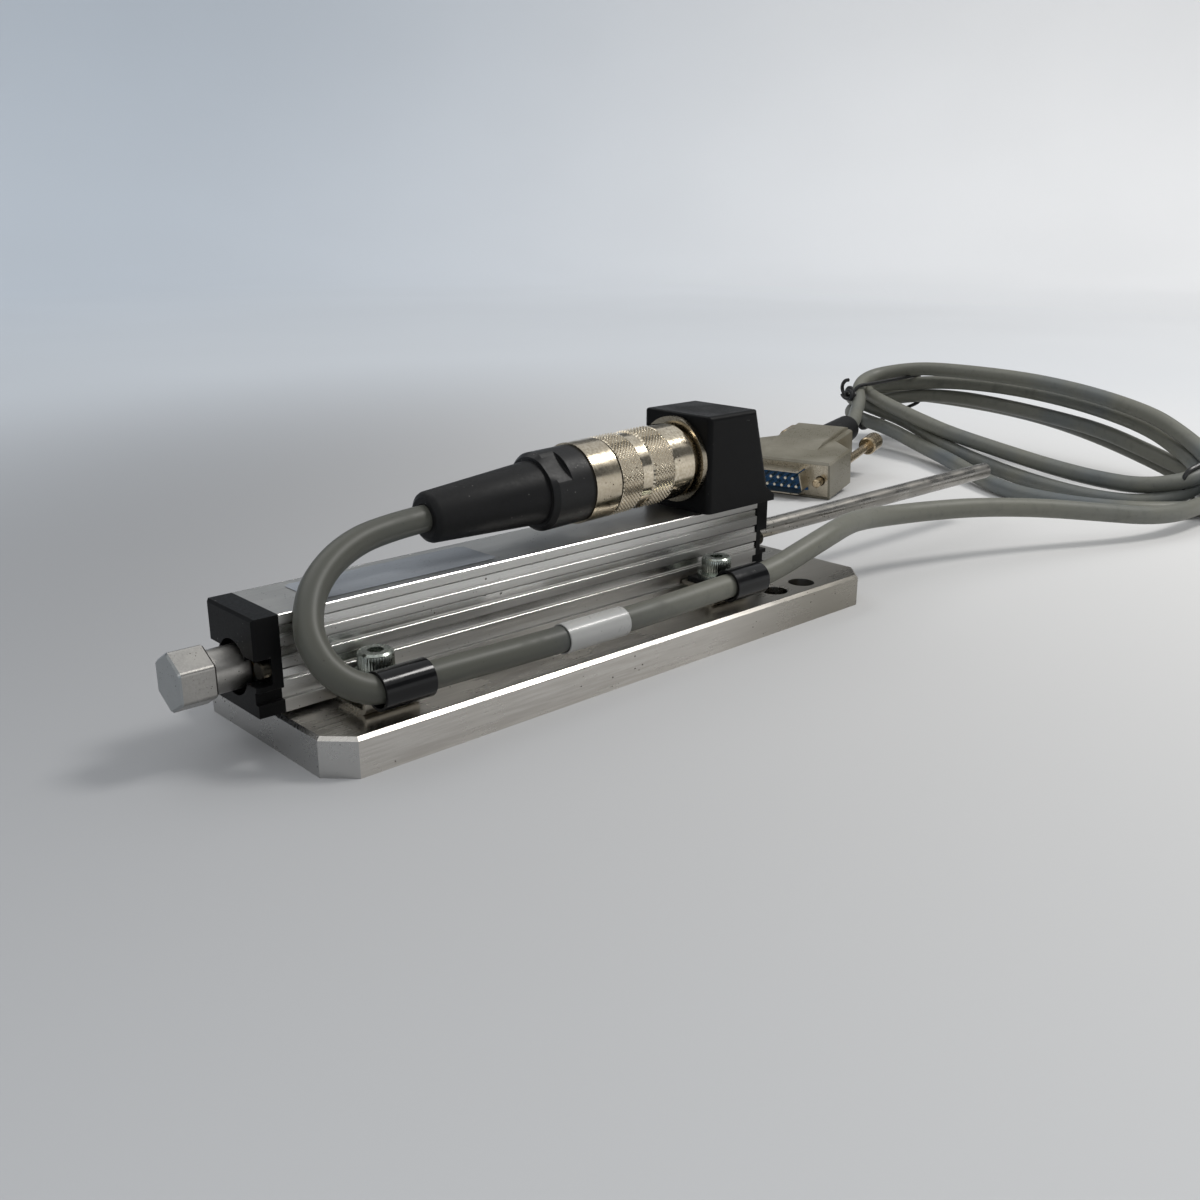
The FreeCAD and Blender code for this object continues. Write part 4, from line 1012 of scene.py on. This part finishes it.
@dataclass
class SensorBody:
    """Grooved profile with its label foil, end caps and the parts inside."""

    start: float = -79.3
    end: float = 53.9
    half: float = 9.0
    corner: float = 0.16
    skin: float = 0.012
    bar_depth: float = 0.4
    grooves: tuple[float, ...] = (15.6, 19.82, 24.04)
    groove_height: float = 2.05
    groove_depth: float = 0.3
    lip_drop: float = 0.42
    lip: tuple[Pair, ...] = ((-0.3, -0.65), (0.03, -0.42), (-0.42, 0.03), (-0.5, -0.1))
    label_start: float = -70.0
    label_end: float = -27.0
    label_half: float = 6.5
    label_round: float = 1.2
    label_straight: float = 0.82
    label_lift: float = 0.09
    label_columns: int = 48
    label_rows: int = 14
    label_waves: tuple[Triple, ...] = ((0.012, 9.0, 2.0), (0.008, 31.0, 0.0))

    def build(self) -> None:
        """Builds the label foil and dresses the nodes."""
        foil = FoilFinish("label_foil_bare", (0.40, 0.425, 0.46), (0.31, 0.33, 0.36)).material()
        solid = Solid("label_foil")
        sides = [2.0 * row / self.label_rows - 1.0 for row in range(self.label_rows + 1)]
        places = [step / self.label_columns for step in range(self.label_columns + 1)]
        solid.loft([[self.spot(share, across) for across in sides] for share in places], closed=False)
        solid.finish(foil, Slot.PROFILE)
        self.dress()

    def lines(self, material: Material) -> None:
        """Builds the crisp top corners, the shallow floors of the side grooves and the eased lips of the ribs.

        Args:
            material: Finish of the profile's lines, a brighter copy of the aluminium that paints their highlight.
        """
        solid = Solid("profile_rib_lips")
        half, floor, top = self.half, self.half - self.groove_depth, self.top()
        inner, outer, deep = half - self.bar_depth, half + self.skin, top - self.bar_depth
        corner = [(outer, top - self.corner), (half - self.corner, top + self.skin), (inner, top + self.skin)]
        sections = [[(inner, deep), (outer, deep), *corner]]
        for low in self.grooves:
            high, back = low + self.groove_height - self.lip_drop, floor - self.bar_depth
            sections.append([(back, low), (floor, low), (floor, high), (back, high)])
            sections.append([(half + y, low + z) for y, z in self.lip])
        for section in sections:
            self.bar(solid, section)
            self.bar(solid, [(-y, z) for y, z in reversed(section)])
        solid.finish(material, Slot.PROFILE, sharp=20.0)

    def bar(self, solid: Solid, section: list[Pair]) -> None:
        """Runs a closed section along the profile.

        Args:
            solid: Mesh that takes it.
            section: Its corners across and up.
        """
        rows = [solid.add([metres((x, y, z)) for y, z in section]) for x in (self.start, self.end)]
        solid.join(*rows)
        solid.faces += [tuple(reversed(rows[0])), tuple(rows[1])]

    def top(self) -> float:
        """Gives the height of the profile's top in millimetres."""
        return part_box("profile")[1].z / MM

    def spot(self, share: float, across: float) -> Vector:
        """Gives a point of the foil.

        Args:
            share: Place along the foil from 0 to 1.
            across: Place across it from -1 to 1.

        Returns:
            The point in metres.
        """
        half = 0.5 * (self.label_end - self.label_start)
        turned = max(0.0, abs(across) - self.label_straight) / (1.0 - self.label_straight)
        inset = self.label_round * (1.0 - math.sqrt(max(0.0, 1.0 - turned**2)))
        x = 0.5 * (self.label_start + self.label_end) + (half - inset) * (2.0 * share - 1.0)
        ripple = sum(height * math.sin(a * share + b * across) for height, a, b in self.label_waves)
        return metres((x, self.label_half * across, self.top() + self.label_lift + ripple))

    def dress(self) -> None:
        """Gives the profile, caps and inner parts their finishes."""
        profile = MetalFinish(
            "aluminium_drawn", (0.62, 0.615, 0.595), (0.55, 0.545, 0.525), (0.12, 0.115, 0.10), (0.33, 0.4),
            stretch=(0.012, 1.0, 1.0), grain=2600.0, grain_depth=0.25e-6, cloud=26.0, speck_scale=1300.0,
            # Painted shade: the tone darkens towards the right end, under the housing.
            speck_size=0.17, speck_share=0.3, edge=0.00004, shade_fade=((-0.02, 0.05), (0.36, 0.355, 0.345)),
        )
        # Painted highlight: brighter copy of the aluminium for the top corners, groove floors and rib lips, also
        # darkening towards the right end as painted shade.
        lip = replace(
            profile, name="aluminium_lips_highlit", tone=(0.74, 0.735, 0.715), dull=(0.64, 0.635, 0.615),
            speck=(0.2, 0.19, 0.17), rough=(0.2, 0.27), grain_depth=0.2e-6, speck_scale=700.0, speck_size=0.22,
            speck_share=0.2, edge=0.00003, shade_fade=((-0.02, 0.05), (0.44, 0.435, 0.42)),
        )
        cap = PlasticFinish("cap_black", (0.0042, 0.0043, 0.0046), (0.014, 0.014, 0.014), (0.38, 0.5), specular=0.1)
        bronze = MetalFinish("bush_bronze", (0.55, 0.37, 0.18), (0.38, 0.24, 0.11), (0.06, 0.04, 0.02), (0.3, 0.42))
        inner = PlasticFinish("carriage_dark", (0.02, 0.02, 0.022), (0.05, 0.05, 0.05), (0.4, 0.5))
        track = PlasticFinish("element_brown", (0.035, 0.02, 0.012), (0.06, 0.04, 0.025), (0.3, 0.4))
        spring = MetalFinish("contact_bright", (0.72, 0.66, 0.5), (0.5, 0.44, 0.3), (0.1, 0.08, 0.05), (0.2, 0.3))
        screw = MetalFinish(
            "cap_screw_dark", (0.06, 0.053, 0.04), (0.03, 0.027, 0.022), (0.02, 0.016, 0.012), (0.26, 0.4),
        )
        self.lines(lip.material())
        dress(profile, "profile")
        dress(cap, "front_cap", "rear_housing")
        dress(screw, "front_cap_screws", "rear_cap_screws")
        dress(bronze, "front_bush", "rear_bush")
        dress(inner, "wiper_carriage")
        dress(track, "resistance_element")
        dress(spring, "wiper_contacts")


@dataclass
class RodEnd:
    """Push rod with its hexagonal end piece."""

    def dress(self) -> None:
        """Gives the rod and its end piece their finishes."""
        rod = MetalFinish(
            "rod_dull", (0.40, 0.385, 0.355), (0.29, 0.275, 0.25), (0.05, 0.045, 0.04), (0.24, 0.38),
            stretch=(0.03, 1.0, 1.0), grain=2400.0, grain_depth=1.8e-6, cloud=120.0, speck_scale=900.0,
        )
        tip = MetalFinish(
            "tip_satin", (0.46, 0.445, 0.42), (0.40, 0.385, 0.36), (0.12, 0.115, 0.10), (0.3, 0.38),
            grain=2400.0, grain_depth=0.9e-6, cloud=140.0, speck_scale=1500.0, speck_size=0.2, speck_share=0.36,
            # Painted shade: the front face that looks along -X darker and cooler.
            ends=(0.38, 0.40, 0.405),
        )
        dress(rod, "actuator_rod")
        dress(tip, "hex_tip")


@dataclass
class RoundConnector:
    """Round connector with its knurled coupling ring, nut and bend boot.

    Outlines give the reach along the axis and the radius of each ring.
    """

    origin: Triple = (33.2, 0.0, 40.3)
    axis: Triple = (-0.99939, 0.0, -0.0349)
    columns: int = 128
    rows: int = 14
    crest: float = 9.36
    root: float = 9.04
    knurls: tuple[Pair, Pair] = ((9.6, 16.3), (19.8, 26.2))
    head: tuple[Pair, ...] = ((2.6, 8.2), (2.6, 8.8), (2.95, 9.15), (9.35, 9.15), (9.6, 9.04))
    waist: tuple[Pair, ...] = ((16.5, 8.85), (19.6, 8.85), (19.8, 9.04))
    foot: tuple[Pair, ...] = ((26.2, 9.04), (26.2, 8.2))
    nut: tuple[Pair, ...] = (
        (34.3, 4.35), (34.3, 8.8), (40.49, 8.8), (40.5, 8.8), (44.5, 8.8), (45.7, 7.9), (45.7, 4.35),
    )
    flats_from: float = 40.5
    flat: float = 7.75
    flat_roll: float = 50.0
    boot: tuple[Pair, ...] = (
        (45.7, 2.95), (45.7, 7.1), (72.8, 5.4), (73.28, 5.208), (73.64, 4.812), (74.0, 4.2), (74.0, 2.95),
    )

    def build(self) -> None:
        """Builds the coupling ring, nut and boot and dresses the nodes."""
        nickel = MetalFinish(
            "nickel_warm", (0.64, 0.575, 0.46), (0.48, 0.415, 0.315), (0.09, 0.07, 0.045), (0.13, 0.23), cloud=170.0,
            speck_scale=900.0, speck_share=0.4,
        )
        # Painted highlight: a brighter copy of the nickel for the knurled ring.
        highlit_nickel = replace(
            nickel, name="nickel_knurled_highlit", tone=(0.76, 0.685, 0.55), dull=(0.52, 0.45, 0.34), speck=(0.08, 0.06, 0.04),
            rough=(0.1, 0.18), grain_depth=0.6e-6, speck_share=0.3, edge=0.00003,
        )
        # Painted shade: a darker copy of the nickel for the receptacle.
        shaded_nickel = replace(
            nickel, name="nickel_flange_shaded", tone=(0.40, 0.355, 0.28), dull=(0.30, 0.262, 0.2), speck=(0.07, 0.055, 0.035),
            rough=(0.16, 0.26),
        )
        solid = Solid("coupling_ring_knurled")
        rows = self.rings(solid, self.head) + self.knurl(solid, *self.knurls[0]) + self.rings(solid, self.waist)
        rows += self.knurl(solid, *self.knurls[1]) + self.rings(solid, self.foot)
        self.skin(solid, rows)
        ring = solid.finish(highlit_nickel.material(), Slot.NICKEL, Body.RING, 12.0)
        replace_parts(ring, "coupling_ring")
        dress(shaded_nickel, "receptacle")
        dress(nickel, "plug_sleeve")
        self.dress()

    def ring(self, reach: float, radii: list[float]) -> list[Vector]:
        """Gives the points of a ring round the connector's axis.

        Args:
            reach: Distance from the housing along the axis.
            radii: Distance of each point from the axis.

        Returns:
            The points in metres.
        """
        ahead = Vector(self.axis).normalized()
        side = Vector((0.0, 1.0, 0.0))
        upward = ahead.cross(side)
        middle = Vector(self.origin) + ahead * reach
        return [(middle + (side * c + upward * s) * r) * MM for r, (c, s) in zip(radii, circle(self.columns))]

    def rings(self, solid: Solid, outline: tuple[Pair, ...]) -> list[tuple[range, int]]:
        """Adds plain rings, cut by the nut's two flats where those reach.

        Args:
            solid: Mesh that takes them.
            outline: Reach and radius of each ring.

        Returns:
            Point numbers of each ring, each with -1 for plain.
        """
        roll = math.radians(self.flat_roll)
        across = [abs(c * math.cos(roll) + s * math.sin(roll)) for c, s in circle(self.columns)]
        rows = []
        for reach, radius in outline:
            limit = self.flat if reach >= self.flats_from else math.inf
            radii = [limit / share if share * radius > limit else radius for share in across]
            rows.append((solid.add(self.ring(reach, radii)), -1))
        return rows

    def knurl(self, solid: Solid, start: float, end: float) -> list[tuple[range, int]]:
        """Adds a band of pointed diamonds.

        Args:
            solid: Mesh that takes it.
            start: Where the band starts along the axis.
            end: Where it ends.

        Returns:
            Point numbers of each row, each with the row's number.
        """
        rows = []
        for row in range(self.rows):
            reach = start + (end - start) * (row + 0.5) / self.rows
            radii = [self.crest if (row + turn) % 2 else self.root for turn in range(self.columns)]
            rows.append((solid.add(self.ring(reach, radii)), row))
        return rows

    def skin(self, solid: Solid, rows: list[tuple[range, int]]) -> None:
        """Joins the rings, with diamonds split so that each rises to a point.

        Args:
            solid: Mesh that holds the rings.
            rows: Point numbers and row numbers.
        """
        for (first, kind), (second, after) in zip(rows, rows[1:]):
            if kind < 0 or after < 0:
                solid.join(second, first)
                continue
            for turn in range(self.columns):
                ahead = (turn + 1) % self.columns
                a, b, c, d = first[turn], first[ahead], second[ahead], second[turn]
                if (kind + turn) % 2:
                    solid.faces += [(a, d, b), (b, d, c)]
                else:
                    solid.faces += [(a, d, c), (a, c, b)]

    def turned(self, name: str, outline: tuple[Pair, ...], material: Material, slot: Slot, sharp: float) -> Object:
        """Turns an outline round the axis.

        Args:
            name: Name of the piece.
            outline: Reach and radius of each ring.
            material: Finish of the piece.
            slot: Material slot of the record.
            sharp: Angle in degrees above which an edge stays sharp.

        Returns:
            The new object.
        """
        solid = Solid(name)
        self.skin(solid, self.rings(solid, outline))
        return solid.finish(material, slot, sharp=sharp)

    def dress(self) -> None:
        """Gives the inserts, pins, nut and boots their finishes."""
        insert = PlasticFinish("insert_dark", (0.015, 0.015, 0.016), (0.04, 0.04, 0.04), (0.4, 0.5))
        gold = MetalFinish("pin_gold", (0.83, 0.62, 0.26), (0.62, 0.44, 0.16), (0.1, 0.07, 0.03), (0.18, 0.28))
        nut = PlasticFinish(
            "nut_black", (0.008, 0.008, 0.0085), (0.024, 0.024, 0.024), (0.44, 0.56), grain=1500.0, specular=0.3,
        )
        rubber = PlasticFinish(
            "boot_rubber", (0.0065, 0.0065, 0.007), (0.02, 0.02, 0.02), (0.5, 0.62), grain=1300.0, grain_depth=9e-6,
            specular=0.22,
        )
        dress(insert, "receptacle_insert", "plug_insert")
        dress(gold, "receptacle_pins")
        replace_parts(self.turned("back_nut_flats", self.nut, nut.material(), Slot.NUT, 20.0), "back_nut")
        boot = dress(rubber, "dsub_boot")
        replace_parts(self.turned("bend_boot_taper", self.boot, boot, Slot.BOOT, 30.0), "bend_boot")


@dataclass
class PlugEnd:
    """Flat plug at the cable's far end."""

    nodes: tuple[str, ...] = (
        "dsub_hood_lower", "dsub_hood_upper", "dsub_shell", "dsub_insulator", "dsub_pins", "dsub_boot",
        "dsub_thumbscrew_near", "dsub_thumbscrew_far",
    )

    def dress(self) -> None:
        """Gives the plug's parts their finishes."""
        hood = PlasticFinish(
            "hood_beige", (0.165, 0.15, 0.109), (0.27, 0.252, 0.205), (0.3, 0.46), grain=1900.0, grain_depth=5e-6,
            scuff_share=0.7, dust=(0.07, 0.06, 0.042), dust_share=0.45,
        )
        shell = MetalFinish("shell_tinned", (0.54, 0.49, 0.40), (0.38, 0.34, 0.265), (0.06, 0.05, 0.03), (0.24, 0.38))
        screw = MetalFinish(
            "thumbscrew_bronze", (0.60, 0.49, 0.335), (0.36, 0.285, 0.185), (0.04, 0.03, 0.02), (0.24, 0.4),
        )
        pale = MetalFinish("plug_pin_pale", (0.78, 0.74, 0.62), (0.6, 0.55, 0.44), (0.1, 0.08, 0.05), (0.2, 0.3))
        blue = PlasticFinish("insulator_blue", (0.008, 0.085, 0.24), (0.03, 0.13, 0.29), (0.38, 0.5), dust_share=0.1)
        dress(hood, "dsub_hood_lower", "dsub_hood_upper")
        dress(shell, "dsub_shell")
        dress(screw, "dsub_thumbscrew_near", "dsub_thumbscrew_far")
        dress(pale, "dsub_pins")
        dress(blue, "dsub_insulator")


def main() -> None:
    """Builds the studio and every piece, in order."""
    logging.basicConfig(level=logging.INFO, format="%(name)s %(message)s")
    Camera().build()
    run = CableRun()
    cable = run.build()
    Studio().build()
    coated = PlasticFinish("tie_black", (0.008, 0.008, 0.0085), (0.03, 0.03, 0.03), (0.35, 0.48)).material()
    ties = [
        WireTie("tie_by_plug", along=69.0, widest=25.0, highest=27.0, knot=1.0).build(run, coated),
        WireTie("tie_far_end", along=-81.0, widest=17.0, highest=60.0, knot=-1.0).build(run, coated),
    ]
    Carrier().build()
    SensorBody().build()
    RodEnd().dress()
    RoundConnector().build()
    plug = PlugEnd()
    plug.dress()
    marker = PlasticFinish(
        "marker_white", (0.42, 0.42, 0.41), (0.35, 0.35, 0.335), (0.28, 0.4), grain=600.0, dust=(0.2, 0.2, 0.19),
        coat=0.4,
    )
    dress(marker, "cable_marker")
    bpy.context.view_layer.update()


if __name__ == "__main__":
    main()
